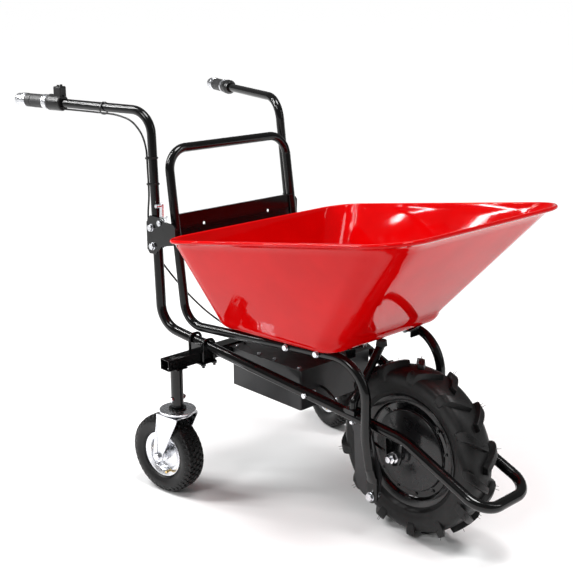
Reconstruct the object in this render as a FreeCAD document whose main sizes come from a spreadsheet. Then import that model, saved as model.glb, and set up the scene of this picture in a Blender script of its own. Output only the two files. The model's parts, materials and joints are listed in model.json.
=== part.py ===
# Power wheelbarrow: one drive wheel with a hub motor in front, two swivel
# casters behind, a tipping frame with a steel tub hinged low beside the wheel.
# Frame: +X forward (towards the drive wheel), +Y left, +Z up, millimetres.
import FreeCAD, Part
import Sketcher
import math, os
from FreeCAD import Vector, Placement, Rotation

V = Vector
doc = FreeCAD.newDocument("PowerWheelbarrow")

# ---------------------------------------------------------------- sizes
sheet = doc.addObject("Spreadsheet::Sheet", "Sizes")
SIZES = [
    ("shift_x", 473.95),            # moves the drive axle so the box centre is the origin
    ("frame_tube_dia", 28.0), ("frame_tube_wall", 1.5),
    ("handle_tube_dia", 24.8), ("handle_tube_wall", 1.5),
    ("tilt_tube_dia", 25.0), ("tilt_tube_wall", 1.5),
    ("tyre_radius", 230.0), ("tyre_half_width", 49.0), ("bead_radius", 134.0),
    ("rim_flange_radius", 147.0), ("rim_half_width", 31.0),
    ("motor_radius", 108.0), ("axle_radius", 8.0), ("axle_length", 214.0),
    ("hanger_y", 81.0), ("hanger_thickness", 6.0),
    ("pivot_x", -37.0), ("pivot_z", 122.0), ("pivot_bolt_radius", 6.0),
    ("plate_thickness", 6.0), ("lug_thickness", 7.5),
    ("beam_width", 36.0), ("beam_height", 30.0), ("beam_half_length", 355.0), ("beam_wall", 2.0),
    ("beam_x", -576.0), ("beam_z", 385.0),
    ("post_y", 316.0), ("post_dia", 34.0), ("caster_tyre_radius", 112.0),
    ("caster_tyre_half_width", 34.0), ("caster_trail", 40.0), ("caster_rim_radius", 64.0),
    ("caster_plate_dia", 100.0), ("caster_plate_thickness", 5.0), ("caster_axle_radius", 6.0),
    ("fork_sheet", 4.0), ("caster_yaw_right", 9.0), ("caster_yaw_left", -14.0),
    ("tub_sheet", 2.0), ("tub_rim_half_width", 336.0), ("tub_rim_length", 808.0),
    ("tub_base_length", 430.0), ("tub_base_half_width", 220.0),
    ("box_length", 272.0), ("box_half_width", 132.0), ("box_height", 112.0), ("box_sheet", 2.0),
    ("grip_radius", 19.0), ("grip_length", 62.0), ("throttle_length", 72.0),
    ("panel_height", 112.0), ("panel_sheet", 2.5),
    ("strut_dia", 22.0), ("button_travel", 2.0),
]
for i, (name, value) in enumerate(SIZES):
    sheet.set("A%d" % (i + 1), name)
    sheet.set("B%d" % (i + 1), repr(value))
    sheet.setAlias("B%d" % (i + 1), name)
doc.recompute()


def S(name):
    return float(sheet.get(name))


DX = S("shift_x")
NODES = []


def place(x=0.0, y=0.0, z=0.0, rot=None):
    return Placement(V(x + DX, y, z), rot if rot is not None else Rotation())


def rot_x(a):
    return Rotation(V(1, 0, 0), a)


def rot_y(a):
    return Rotation(V(0, 1, 0), a)


def rot_z(a):
    return Rotation(V(0, 0, 1), a)


# ---------------------------------------------------------------- helpers
def feature(label, shape, placement=None):
    obj = doc.addObject("Part::Feature", label)
    obj.Label = label
    own = shape.Placement
    obj.Shape = shape
    obj.Placement = (placement if placement is not None else place()).multiply(own)
    NODES.append(obj)
    return obj


def new_body(label, placement):
    b = doc.addObject("PartDesign::Body", label)
    b.Label = label
    b.Placement = placement
    NODES.append(b)
    return b


def base_plane(b, role):
    for f in b.Origin.OriginFeatures:
        if f.Role == role:
            return f


def new_sketch(b, name, role="XY_Plane", offset=None):
    s = b.newObject("Sketcher::SketchObject", name)
    s.AttachmentSupport = [(base_plane(b, role), "")]
    s.MapMode = "FlatFace"
    if offset is not None:
        s.AttachmentOffset = offset
    return s


def sk_circle(s, cx, cy, r, bind=None):
    g = s.addGeometry(Part.Circle(V(cx, cy, 0), V(0, 0, 1), r), False)
    if bind:
        c = s.addConstraint(Sketcher.Constraint("Radius", g, r))
        s.renameConstraint(c, "radius_%d" % g)
        s.setExpression("Constraints.radius_%d" % g, bind)
    return g


def sk_outline(s, pts):
    """closed outline; a point written as ('arc', (mx, my), (ex, ey)) ends an arc"""
    first = V(pts[0][0], pts[0][1], 0)
    cur = first
    for p in list(pts[1:]) + [pts[0]]:
        if p[0] == "arc":
            m = V(p[1][0], p[1][1], 0)
            e = V(p[2][0], p[2][1], 0)
            s.addGeometry(Part.Arc(cur, m, e), False)
            cur = e
        else:
            e = V(p[0], p[1], 0)
            if (e - cur).Length > 1e-7:
                s.addGeometry(Part.LineSegment(cur, e), False)
            cur = e


def revolve(label, prof, placement):
    """profile points are (radius, height); turned about the body's own Z"""
    b = new_body(label, placement)
    s = new_sketch(b, label + "_profile", "XZ_Plane")
    sk_outline(s, prof)
    r = b.newObject("PartDesign::Revolution", label + "_turned")
    r.Profile = s
    r.ReferenceAxis = (s, ["V_Axis"])
    r.Angle = 360
    return b


def pad(label, outline, placement, length, bind=None, circles=(), mid=False):
    b = new_body(label, placement)
    s = new_sketch(b, label + "_outline")
    if outline:
        sk_outline(s, outline)
    for c in circles:
        sk_circle(s, *c)
    p = b.newObject("PartDesign::Pad", label + "_pad")
    p.Profile = s
    p.Length = length
    if bind:
        p.setExpression("Length", bind)
    if mid:
        p.Midplane = True
    return b


def bent_path(pts, radii):
    pts = [V(*p) for p in pts]
    edges = []
    cur = pts[0]
    for i in range(1, len(pts) - 1):
        a = (pts[i - 1] - pts[i]).normalize()
        b = (pts[i + 1] - pts[i]).normalize()
        turn = math.pi - a.getAngle(b)
        R = radii[i - 1]
        T = R * math.tan(turn / 2)
        t1 = pts[i] + a * T
        t2 = pts[i] + b * T
        bis = (a + b).normalize()
        c = pts[i] + bis * (R / math.cos(turn / 2))
        mid = c - bis * R
        if (t1 - cur).Length > 1e-6:
            edges.append(Part.LineSegment(cur, t1).toShape())
        edges.append(Part.Arc(t1, mid, t2).toShape())
        cur = t2
    if (pts[-1] - cur).Length > 1e-6:
        edges.append(Part.LineSegment(cur, pts[-1]).toShape())
    return Part.Wire(edges)


def sweep_round(path, r):
    start = path.Edges[0].valueAt(path.Edges[0].FirstParameter)
    tan = path.Edges[0].tangentAt(path.Edges[0].FirstParameter)
    ring = Part.Wire([Part.Circle(start, tan, r).toShape()])
    shape = path.makePipeShell([ring], True, False)
    area = math.pi * r * r
    want = area * path.Length
    if abs(shape.Volume - want) > 0.02 * want:
        raise RuntimeError("swept volume %.0f, expected %.0f" % (shape.Volume, want))
    return shape


def tube_shape(pts, radii, r, wall=None):
    path = bent_path(pts, radii)
    outer = sweep_round(path, r)
    if wall:
        return outer.cut(sweep_round(path, r - wall)), path, outer
    return outer, path, outer


def cyl(p, d, r, length, r_in=None):
    p = V(*p)
    d = V(*d)
    c = Part.makeCylinder(r, length, p, d)
    if r_in:
        c = c.cut(Part.makeCylinder(r_in, length, p, d))
    return c


def box(x0, x1, y0, y1, z0, z1):
    return Part.makeBox(x1 - x0, y1 - y0, z1 - z0, V(x0, y0, z0))


def hex_prism(p, d, flats, h):
    """hexagon with its base centre at p, height h along d"""
    p = V(*p)
    d = V(*d).normalize()
    R = flats / math.sqrt(3)
    pts = [V(R * math.cos(math.radians(60 * k)), R * math.sin(math.radians(60 * k)), 0) for k in range(7)]
    f = Part.Face(Part.makePolygon(pts)).extrude(V(0, 0, h))
    chamfer = Part.makeCone(flats * 0.5 + h * 0.9, flats * 0.5, h * 0.9, V(0, 0, h * 0.1))
    foot = Part.makeCylinder(flats * 0.7, h * 0.1 + 1e-3)
    f = f.common(chamfer.fuse(foot))
    f.Placement = Placement(p, Rotation(V(0, 0, 1), d))
    return f


def bolt(p, d, r, grip, nut=True, flats=None, tail=3.0, washer=True, thin_nut=False):
    """hexagon bolt; p is under the head, d points from head to tip, grip is the clamped length"""
    flats = flats or r * 3.2
    p = V(*p)
    d = V(*d).normalize()
    hh = r * 1.3
    w = 1.6 if washer else 0.0
    out = []
    head = hex_prism(p - d * w, d * -1, flats, hh)
    shank = Part.makeCylinder(r, grip + w + (w + r * 1.6 + tail if nut else 0.0), p - d * w, d)
    out.append(head.fuse(shank).removeSplitter())
    if washer:
        out[0] = out[0].fuse(Part.makeCylinder(flats * 0.62, w, p - d * w, d)).removeSplitter()
    if nut:
        n0 = p + d * grip
        nn = hex_prism(n0 + d * w, d, flats, r * 1.6)
        if washer:
            nn = nn.fuse(Part.makeCylinder(flats * 0.62, w, n0, d))
        nn = nn.cut(Part.makeCylinder(r, 60, n0 - d * 5, d)).removeSplitter()
        out.append(nn)
    return out


def mirror_y(shape):
    return shape.mirror(V(0, 0, 0), V(0, 1, 0))


def both(shape):
    return [shape, mirror_y(shape)]


def group(shapes):
    flat = []
    for s in shapes:
        flat.extend(s.Solids)
    return Part.makeCompound(flat)


def lerp(a, b, k):
    return (a[0] + (b[0] - a[0]) * k, a[1] + (b[1] - a[1]) * k, a[2] + (b[2] - a[2]) * k)


def at_x(a, b, x):
    return lerp(a, b, (x - a[0]) / (b[0] - a[0]))


def at_z(a, b, z):
    return lerp(a, b, (z - a[2]) / (b[2] - a[2]))


# ---------------------------------------------------------------- skeleton, right-hand side (negative Y)
TIP = (-1244.0, -363.0, 1035.0)        # end of the right-hand grip
HB = (-768.0, -234.0, 1030.0)          # handle bend
RB = (-713.0, -258.0, 446.0)           # rear bend of the main tube
FB = (37.0, -90.0, 291.0)              # bend above the drive axle
LP = (285.0, -92.0, 190.0)             # front corner of the loop
JX = -207.0                            # butt joint between main tube and front loop
SLEEVE_Z = 746.0                       # mouth of the main tube, where the handle tube enters
DU = (-721.0, -215.0, 929.5)           # top corner of the push bar
DR = (-651.0, -220.0, 452.0)           # rear bend of the tipping frame
DF = (-45.0, -144.0, 483.0)            # front bend of the tipping frame
LEG1 = (-40.0, -143.0, 285.0)          # leg just below the main tube
LUG_TOP = (-38.5, -127.2, 196.0)       # where the leg starts to flatten
TJ = -250.0                            # joint along the lower rail
PX, PZ = S("pivot_x"), S("pivot_z")
RF, RT, RH = S("frame_tube_dia") / 2, S("tilt_tube_dia") / 2, S("handle_tube_dia") / 2


def left(p):
    return (p[0], -p[1], p[2])


J0 = at_x(RB, FB, JX)
SL = at_z(HB, RB, SLEEVE_Z)
T0 = at_x(DR, DF, TJ)

# ---------------------------------------------------------------- main frame tubes
lower, lower_path, lower_solid = tube_shape([SL, RB, J0], [75.0], RF, S("frame_tube_wall"))
u_low = (V(*J0) - V(*RB)).normalize()

# handle tube: from inside the grip, round the bend, down into the main tube
u_h = (V(*HB) - V(*TIP)).normalize()
H0 = V(*TIP) + u_h * 8.0
HEND = at_z(HB, RB, SLEEVE_Z - 70.0)
handle, handle_path, handle_solid = tube_shape([tuple(H0), HB, HEND], [68.0], RH, S("handle_tube_wall"))

loop_pts = [J0, FB, LP, left(LP), left(FB), left(J0)]
loop, loop_path, loop_solid = tube_shape(loop_pts, [220.0, 56.0, 56.0, 220.0], RF, S("frame_tube_wall"))

# tabs welded under the loop tube that carry the pivot plates
tab = box(-118.0, -66.0, -108.0, -102.0, 268.0, 322.0).cut(loop_solid)
tab = sorted(tab.Solids, key=lambda s: -s.BoundBox.ZLength)[0]
loop = loop.fuse([tab, mirror_y(tab)])

# vertical clamp bolt that holds the strut foot, and the joint bolts beside the ring
STRUT_X = -105.0
SF = at_x(J0, FB, STRUT_X)
clamp_hole = cyl((SF[0], SF[1], SF[2] - 40), (0, 0, 1), 5.2, 80.0)
JB = at_x(RB, FB, JX - 28.0)
joint_hole = cyl((JB[0], JB[1] - 30, JB[2]), (0, 1, 0), 4.2, 60.0)
loop = loop.cut(clamp_hole).cut(mirror_y(clamp_hole))

# ---------------------------------------------------------------- holes in the upright for the latch plate
L1 = at_z(HB, RB, 718.0)
L2 = at_z(HB, RB, 667.0)
upright_holes = [cyl((L1[0], L1[1] - 40, 718.0), (0, 1, 0), 5.2, 80.0),
                 cyl((L2[0], L2[1] - 40, 667.0), (0, 1, 0), 5.2, 80.0)]
for hcut in upright_holes:
    lower = lower.cut(hcut)
    handle = handle.cut(hcut)
lower = lower.cut(joint_hole)

# spigot inside the butt joint, drawn as part of the main tube's nose
spig = Part.makeCylinder(RF - S("frame_tube_wall"), 30.0, V(*J0) - u_low * 30.0, u_low)
spig = spig.fuse(Part.makeCylinder(RF - S("frame_tube_wall") - 0.05, 60.0, V(*J0) - u_low * 30.0, u_low))
spig = spig.cut(Part.makeCylinder(RF - 4.0, 60.0, V(*J0) - u_low * 30.0, u_low)).cut(joint_hole)
lower = lower.fuse(spig)

feature("lower_frame_right", lower)
feature("lower_frame_left", mirror_y(lower))
feature("front_loop", loop)
feature("handle_tube_right", handle)
feature("handle_tube_left", mirror_y(handle))

# ---------------------------------------------------------------- grips
rot_right = Rotation(V(0, 0, 1), u_h)
u_hl = V(u_h.x, -u_h.y, u_h.z)
rot_left = Rotation(V(0, 0, 1), u_hl)


def on_handle(station, side):
    u = u_h if side < 0 else u_hl
    base = V(TIP[0], TIP[1] * (1 if side < 0 else -1), TIP[2]) + u * station
    return place(base.x, base.y, base.z, rot_right if side < 0 else rot_left)


GR = S("grip_radius")
GL = S("grip_length")
TL = S("throttle_length")
bore = RH + 0.05

# smooth plugged ends
cap_prof = [(0.0, 0.0), (11.0, 0.0), ("arc", (15.6, 2.6), (17.6, 8.0)), (GR, 22.0), (GR, 26.0),
            (bore, 26.0), (bore, 7.6), (0.0, 7.6)]
cap_shape = Part.Face(Part.Wire([
    Part.LineSegment(V(0, 0, 0), V(11, 0, 0)).toShape(),
    Part.Arc(V(11, 0, 0), V(15.6, 0, 2.6), V(17.6, 0, 8)).toShape(),
    Part.LineSegment(V(17.6, 0, 8), V(GR, 0, 22)).toShape(),
    Part.LineSegment(V(GR, 0, 22), V(GR, 0, 26)).toShape(),
    Part.LineSegment(V(GR, 0, 26), V(bore, 0, 26)).toShape(),
    Part.LineSegment(V(bore, 0, 26), V(bore, 0, 7.6)).toShape(),
    Part.LineSegment(V(bore, 0, 7.6), V(0, 0, 7.6)).toShape(),
    Part.LineSegment(V(0, 0, 7.6), V(0, 0, 0)).toShape(),
])).revolve(V(0, 0, 0), V(0, 0, 1), 360)
cap_r = cap_shape.copy()
cap_r.Placement = Placement(V(*TIP), rot_right)
cap_l = cap_shape.copy()
cap_l.Placement = Placement(V(*left(TIP)), rot_left)
feature("grip_end_caps", group([cap_r, cap_l]))

# right: short fixed grip, then the twist sleeve; left: one long grip
revolve("grip_right", [(bore, 0.0), (GR, 0.0), (GR + 0.6, 4.0), (GR + 0.6, GL - 30.0), (GR, GL - 27.0), (bore, GL - 27.0)],
        on_handle(26.3, -1))
revolve("throttle_sleeve", [(bore + 0.05, 0.0), (GR, 0.0), (GR + 0.8, 2.0), (GR + 0.8, TL - 12.0),
                            ("arc", (GR + 1.8, TL - 6.0), (GR + 4.5, TL - 2.5)), (GR + 4.5, TL), (bore + 0.05, TL)],
        on_handle(62.2, -1))
revolve("grip_left", [(bore, 0.0), (GR, 0.0), (GR + 0.6, 4.0), (GR + 0.6, 98.0),
                      ("arc", (GR + 1.4, 102.0), (GR + 3.0, 104.5)), (GR + 3.0, 107.0), (bore, 107.0)],
        on_handle(26.3, 1))

# throttle housing: split clamp ring with a boss for the cable
hs = on_handle(134.8, -1)
ring = Part.makeCylinder(23.0, 40.0).fuse(Part.makeCone(23.0, 21.0, 4.0, V(0, 0, 40.0)))
ring = ring.fuse(Part.makeCylinder(5.0, 16.0, V(0, 0, 0) + V(-20.0, 0.0, 30.0), V(0, 0, 1)))
ring = ring.cut(Part.makeCylinder(bore, 60.0, V(0, 0, -1)))
pad_boss = Part.makeBox(14.0, 22.0, 30.0, V(-28.0, -11.0, 2.0))
feature("throttle_housing", ring, hs)

flange = Part.makeCylinder(22.5, 16.0).fuse(Part.makeCone(22.5, 17.0, 12.0, V(0, 0, 16.0)))
flange = flange.cut(Part.makeCylinder(bore, 40.0, V(0, 0, -1)))
feature("grip_collar_left", flange, on_handle(133.6, 1))

# display and key box standing on the throttle housing
BX = V(*TIP) + u_h * 167.0
case = Part.makeBox(28.0, 26.0, 37.0, V(-14.0, -13.0, -4.0))
case = case.makeFillet(4.0, [e for e in case.Edges if e.BoundBox.ZLength > 1 or e.BoundBox.ZMin > 32])
window_cut = Part.makeBox(2.0, 18.0, 14.0, V(-14.0, -9.0, 14.0))
case = case.cut(window_cut)
case = case.cut(Part.makeCylinder(4.6, 24.0, V(6.5, 0.0, 20.0)))
case = case.cut(Part.makeCylinder(3.9, 24.0, V(-5.5, 0.0, 20.0)))
yaw = math.degrees(math.atan2(u_h.y, u_h.x))
case_pl = Placement(V(BX.x, BX.y, BX.z + 14.0), rot_z(yaw))
case.Placement = case_pl
saddle_cut = Part.makeCylinder(23.3, 140.0, V(*TIP) + u_h * 120.0, u_h)
boss_room = Part.makeCylinder(5.4, 60.0, V(-20.0, 0.0, -10.0))
boss_room.Placement = Placement(V(*TIP) + u_h * 134.8, rot_right).multiply(boss_room.Placement)
case = case.cut(boss_room).cut(saddle_cut).cut(Part.makeCylinder(bore + 0.4, 200.0, V(*TIP) + u_h * 110.0, u_h))
case = sorted(case.Solids, key=lambda q: -q.Volume)[0]
feature("display_box", case)
lens = Part.makeBox(1.9, 17.4, 13.4, V(-13.95, -8.7, 14.3))
lens.Placement = case_pl
feature("display_lens", lens)
KEY_P = case_pl.multVec(V(6.5, 0.0, 20.2))
BTN_P = case_pl.multVec(V(-5.5, 0.0, 20.2))
key = Part.makeCylinder(4.5, 14.0, V(6.5, 0.0, 20.2)).fuse(Part.makeBox(2.4, 8.0, 4.0, V(5.3, -4.0, 34.0)))
key.Placement = case_pl
feature("key_switch", key)
btn = Part.makeCylinder(3.8, 13.0, V(-5.5, 0.0, 23.0))
btn = btn.makeFillet(0.9, [e for e in btn.Edges if e.BoundBox.ZMin > 35.5 and e.BoundBox.ZLength < 0.1])
btn.Placement = case_pl
feature("direction_button", btn)
print("key axis at", KEY_P, "button at", BTN_P)

# ---------------------------------------------------------------- latch plates, bolts, lever
PY = L1[1] - RF - 0.5          # inner face of the plate, right side


def latch_plate(pts, bored):
    w = Part.makePolygon([V(x, 0, z) for x, z in pts + [pts[0]]])
    s = Part.Face(w).extrude(V(0, -4.0, 0))
    s.translate(V(0, PY, 0))
    # rear flange wraps behind the upright
    s = s.fuse(Part.makeBox(4.0, 34.0, 80.0, V(-761.0, PY - 4.0, 653.0)))
    for hc in upright_holes:
        s = s.cut(hc)
    if bored:
        s = s.cut(cyl((LVX, PY - 10, LVZ), (0, 1, 0), 5.05, 20.0))
    s = s.cut(lower_solid).cut(handle_solid)
    return sorted(s.Solids, key=lambda q: -q.Volume)[0]


LVX, LVZ = -700.0, 737.0                       # lever pivot
lp = latch_plate([(-757.0, 650.0), (-757.0, 738.0), (-744.0, 752.0), (-696.0, 752.0), (-680.0, 744.0), (-640.0, 742.0),
                  (-631.0, 734.0), (-632.0, 694.0), (-644.0, 684.0), (-700.0, 672.0), (-722.0, 646.0), (-750.0, 644.0)], True)
lpl = latch_plate([(-757.0, 650.0), (-757.0, 735.0), (-724.0, 735.0), (-717.0, 728.0), (-717.0, 656.0), (-723.0, 650.0)], False)
feature("latch_plates", group([lp, mirror_y(lpl)]))

# ---------------------------------------------------------------- caster beam and its clamps
BXX, BZ = S("beam_x"), S("beam_z")
BW, BH, BL, BT = S("beam_width"), S("beam_height"), S("beam_half_length"), S("beam_wall")
b = new_body("caster_beam", place(BXX, BL, BZ, rot_x(90)))
s = new_sketch(b, "beam_section")
sk_outline(s, [(-BW / 2, -BH / 2), (BW / 2, -BH / 2), (BW / 2, BH / 2), (-BW / 2, BH / 2)])
sk_outline(s, [(-BW / 2 + BT, -BH / 2 + BT), (BW / 2 - BT, -BH / 2 + BT), (BW / 2 - BT, BH / 2 - BT), (-BW / 2 + BT, BH / 2 - BT)])
pb = b.newObject("PartDesign::Pad", "beam_pad")
pb.Profile = s
pb.Length = 2 * BL
pb.setExpression("Length", "2 * Sizes.beam_half_length")
# cross-drilled holes: accessory holes near both ends
sh = new_sketch(b, "beam_holes", "XZ_Plane", Placement(V(0, 0, -60.0), Rotation()))
hole_stations = [-BL + 16.0, BL - 16.0]
for hx in hole_stations:
    sk_circle(sh, 0.0, BL + hx, 5.25)
pk = b.newObject("PartDesign::Pocket", "beam_holes_cut")
pk.Profile = sh
pk.Type = 1
pk.Midplane = True

# U-shaped clamp saddles between beam and inclined main tube
CX = BXX
C0 = at_x(RB, FB, CX)
slope = (V(*FB) - V(*RB)).normalize()
sad = box(CX - 26.0, CX + 26.0, C0[1] - 24.0, C0[1] + 24.0, BZ + BH / 2, C0[2] + 4.0)
sad = sad.cut(lower_solid)
sad = sorted(sad.Solids, key=lambda q: -q.Volume)[0]
keep = box(BXX - BW / 2, BXX + BW / 2, -BL, BL, BZ - BH / 2, BZ + BH / 2)
sad = sad.cut(keep)


def u_bolt(px, py, pz, y_half):
    """round staple over the main tube with two legs down past the beam"""
    r = 4.0
    top = pz + RF + r + 0.3
    bot = BZ - BH / 2 - 16.0
    pts = [(px, py - y_half, bot), (px, py - y_half, top), (px, py + y_half, top), (px, py + y_half, bot)]
    sh_, _, _ = tube_shape(pts, [14.0, 14.0], r)
    return sh_


ub = []
for dx in (-22.5, 22.5):
    c = at_x(RB, FB, CX + dx)
    q = u_bolt(c[0], c[1], c[2], 19.0)
    sad = sad.cut(q)
    ub.append(q)
under = box(CX - 30.0, CX + 30.0, C0[1] - 27.0, C0[1] + 27.0, BZ - BH / 2 - 4.0, BZ - BH / 2)
nuts = []
for dx in (-22.5, 22.5):
    c = at_x(RB, FB, CX + dx)
    for dy in (-19.0, 19.0):
        under = under.cut(cyl((c[0], c[1] + dy, BZ - 60), (0, 0, 1), 4.0, 80.0))
        n = hex_prism((c[0], c[1] + dy, BZ - BH / 2 - 4.0), (0, 0, -1), 13.0, 6.5)
        nuts.append(n.cut(cyl((c[0], c[1] + dy, BZ - 60), (0, 0, 1), 4.0, 80.0)))
clampset = [sad, under] + ub + nuts
feature("beam_clamps", group(clampset + [mirror_y(q) for q in clampset]))

# ---------------------------------------------------------------- caster posts, plates
PYC = S("post_y")
PLATE_TOP = 2 * S("caster_tyre_radius") + 26.0
post_r = S("post_dia") / 2
post = Part.makeCylinder(post_r, BZ - BH / 2 - PLATE_TOP, V(BXX, -PYC, PLATE_TOP))
post = post.fuse(Part.makeCylinder(post_r + 7.0, 4.0, V(BXX, -PYC, PLATE_TOP)))
post = post.fuse(box(BXX - 22.0, BXX + 22.0, -PYC - 16.0, -PYC + 22.0, BZ - BH / 2 - 3.0, BZ - BH / 2))
post_hole = cyl((BXX, -PYC - 30.0, PLATE_TOP + 30.0), (0, 1, 0), 4.2, 60.0)
post = post.cut(post_hole).cut(Part.makeCylinder(post_r - 2.5, 200.0, V(BXX, -PYC, PLATE_TOP + 8.0)))
post = post.cut(box(BXX - 22.5, BXX + 22.5, -PYC - 22.5, -PYC + 22.5, BZ - BH / 2, BZ + 60))
feature("caster_posts", group([post, mirror_y(post)]))

pr_ = S("caster_plate_dia") / 2
pt = S("caster_plate_thickness")
plate = Part.makeCylinder(pr_, pt, V(BXX, -PYC, PLATE_TOP - pt))
plate = plate.fuse(Part.makeCone(pr_ - 12.0, pr_ - 20.0, 5.0, V(BXX, -PYC, PLATE_TOP - pt - 5.0)))
plate = plate.fuse(Part.makeCylinder(7.95, 20.0, V(BXX, -PYC, PLATE_TOP - pt - 24.0)))
plate = plate.makeFillet(1.5, [e for e in plate.Edges if abs(e.BoundBox.ZMin - PLATE_TOP) < 0.01 and abs(e.BoundBox.ZLength) < 0.01 and e.BoundBox.XLength > 60])
feature("caster_plates", group([plate, mirror_y(plate)]))


# ---------------------------------------------------------------- casters
RC = S("caster_tyre_radius")
WC = S("caster_tyre_half_width")
TR = S("caster_trail")
FS = S("fork_sheet")


def caster_fork():
    """local frame: swivel axis is Z at the origin, wheel behind at -trail"""
    top = PLATE_TOP - pt - 6.0 - 1.0
    crown_z = top - FS
    yin = WC + 5.0
    crown = Part.makeCylinder(40.0, FS, V(0, 0, crown_z))
    crown = crown.fuse(Part.makeBox(74.0, 2 * (yin + FS), FS, V(-40.0, -(yin + FS), crown_z)))
    race = Part.makeCylinder(36.0, 1.0, V(0, 0, top))
    crown = crown.fuse(race)
    side = []
    for sgn in (-1, 1):
        pts = [(34.0, crown_z + FS), (34.0, crown_z - 6.0), (-TR + 20.0, RC + 10.0), (-TR + 17.0, RC - 8.0),
               (-TR + 2.0, RC - 18.0), (-TR - 12.0, RC - 13.0), (-TR - 18.0, RC + 2.0), (-40.0, crown_z - 10.0), (-40.0, crown_z + FS)]
        w = Part.makePolygon([V(x, 0, z) for x, z in pts + [pts[0]]])
        f = Part.Face(w).extrude(V(0, FS, 0))
        f.translate(V(0, yin if sgn > 0 else -yin - FS, 0))
        side.append(f)
    sh_ = crown.fuse(side)
    sh_ = sh_.cut(Part.makeCylinder(S("caster_axle_radius") + 0.03, 200.0, V(-TR, -100.0, RC), V(0, 1, 0)))
    sh_ = sh_.cut(Part.makeCylinder(8.0, 60.0, V(0, 0, crown_z - 20.0)))
    return sh_.removeSplitter()


def caster_axle(side):
    yin = WC + 5.0 + FS
    r = S("caster_axle_radius")
    parts = bolt((-TR, side * yin, RC), (0, -side, 0), r, 2 * yin, nut=True, flats=19.0, tail=3.0, washer=False)
    return parts


fork = caster_fork()
YR, YL = S("caster_yaw_right"), S("caster_yaw_left")
feature("caster_fork_right", fork, place(BXX, -PYC, 0.0, rot_z(YR)))
feature("caster_fork_left", fork.copy(), place(BXX, PYC, 0.0, rot_z(YL)))
feature("caster_axle_right", group(caster_axle(-1)), place(BXX, -PYC, 0.0, rot_z(YR)))
feature("caster_axle_left", group(caster_axle(1)), place(BXX, PYC, 0.0, rot_z(YL)))


def caster_wheel_place(side, yaw_deg):
    y = -PYC if side < 0 else PYC
    r = rot_z(yaw_deg)
    off = r.multVec(V(-TR, 0, 0))
    return place(BXX + off.x, y + off.y, RC, r.multiply(rot_x(90)))


RR = S("caster_rim_radius")
tyre_prof = [(RR - 6.0, -19.0), (RR + 1.5, -22.0), ("arc", (RR + 20.0, -WC), (RC - 13.0, -WC + 3.0)),
             ("arc", (RC - 3.0, -17.0), (RC, 0.0)), ("arc", (RC - 3.0, 17.0), (RC - 13.0, WC - 3.0)),
             ("arc", (RR + 20.0, WC), (RR + 1.5, 22.0)), (RR - 6.0, 19.0)]
hub_prof_r = S("caster_axle_radius") + 0.05
rim_prof_c = [(hub_prof_r, -38.5), (11.0, -38.5), (11.0, -26.0), (20.0, -25.0), (20.0, -10.0), (44.0, -7.0), (50.0, -20.0),
              (RR, -25.0), (RR + 0.9, -23.0), (RR - 6.3, -19.2), (RR - 6.3, 19.2), (RR + 0.9, 23.0), (RR, 25.0),
              (50.0, 20.0), (44.0, 7.0), (20.0, 10.0), (20.0, 25.0), (11.0, 26.0), (11.0, 38.5), (hub_prof_r, 38.5)]
for side, tag, yw in ((-1, "right", YR), (1, "left", YL)):
    revolve("caster_tyre_" + tag, tyre_prof, caster_wheel_place(side, yw))
    revolve("caster_rim_" + tag, rim_prof_c, caster_wheel_place(side, yw))

# ---------------------------------------------------------------- drive wheel with hub motor
RW, HW, RB_, RFL, HR = S("tyre_radius"), S("tyre_half_width"), S("bead_radius"), S("rim_flange_radius"), S("rim_half_width")
MR = S("motor_radius")
wheel_pl = place(0, 0, RW, rot_x(90))       # local +Z points to the right-hand side
revolve("drive_tyre", [
    (RB_ + 0.3, -HR + 3.6), (RFL - 2.0, -HR + 0.6), (RFL + 3.2, -HR - 0.4), ("arc", (RFL + 24.0, -HW + 3.0), (RW - 36.0, -HW)),
    (RW - 20.0, -HW + 1.0), (RW - 10.0, -HW + 5.0), ("arc", (RW - 2.0, -26.0), (RW, 0.0)), ("arc", (RW - 2.0, 26.0), (RW - 10.0, HW - 5.0)),
    (RW - 20.0, HW - 1.0), (RW - 36.0, HW), ("arc", (RFL + 24.0, HW - 3.0), (RFL + 3.2, HR + 0.4)), (RFL - 2.0, HR - 0.6), (RB_ + 0.3, HR - 3.6)], wheel_pl)
revolve("drive_rim", [
    (MR + 0.2, -20.0), (MR + 16.0, -20.0), (MR + 19.0, -23.0), (RB_ - 4.0, -HR + 2.0), (RFL - 1.0, -HR - 3.0), (RFL + 1.5, -HR - 1.6),
    (RFL - 2.4, -HR - 1.0), (RB_, -HR + 2.2), (RB_, HR - 2.2), (RFL - 2.4, HR + 1.0), (RFL + 1.5, HR + 1.6),
    (RFL - 1.0, HR + 3.0), (RB_ - 4.0, HR - 2.0), (MR + 19.0, 23.0), (MR + 16.0, 20.0), (MR + 0.2, 20.0)], wheel_pl)


def cover(sign):
    k = sign
    p = [(8.3, k * 58.0), (16.0, k * 58.0), (17.5, k * 55.0), (21.0, k * 54.0), (24.0, k * 44.0), (34.0, k * 40.0),
         (70.0, k * 35.0), (98.0, k * 29.0), (MR - 2.0, k * 27.0), (MR - 0.4, k * 24.5), (MR - 0.4, k * 21.0),
         (MR - 6.0, k * 21.0), (MR - 12.0, k * 24.0), (60.0, k * 31.0), (30.0, k * 35.0), (20.0, k * 38.0), (8.3, k * 38.0)]
    return p


revolve("motor_cover_right", cover(1), wheel_pl)
revolve("motor_cover_left", cover(-1), wheel_pl)
revolve("magnet_ring", [(MR - 9.0, -18.0), (MR - 0.5, -18.0), (MR - 0.5, 18.0), (MR - 9.0, 18.0)], wheel_pl)

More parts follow.
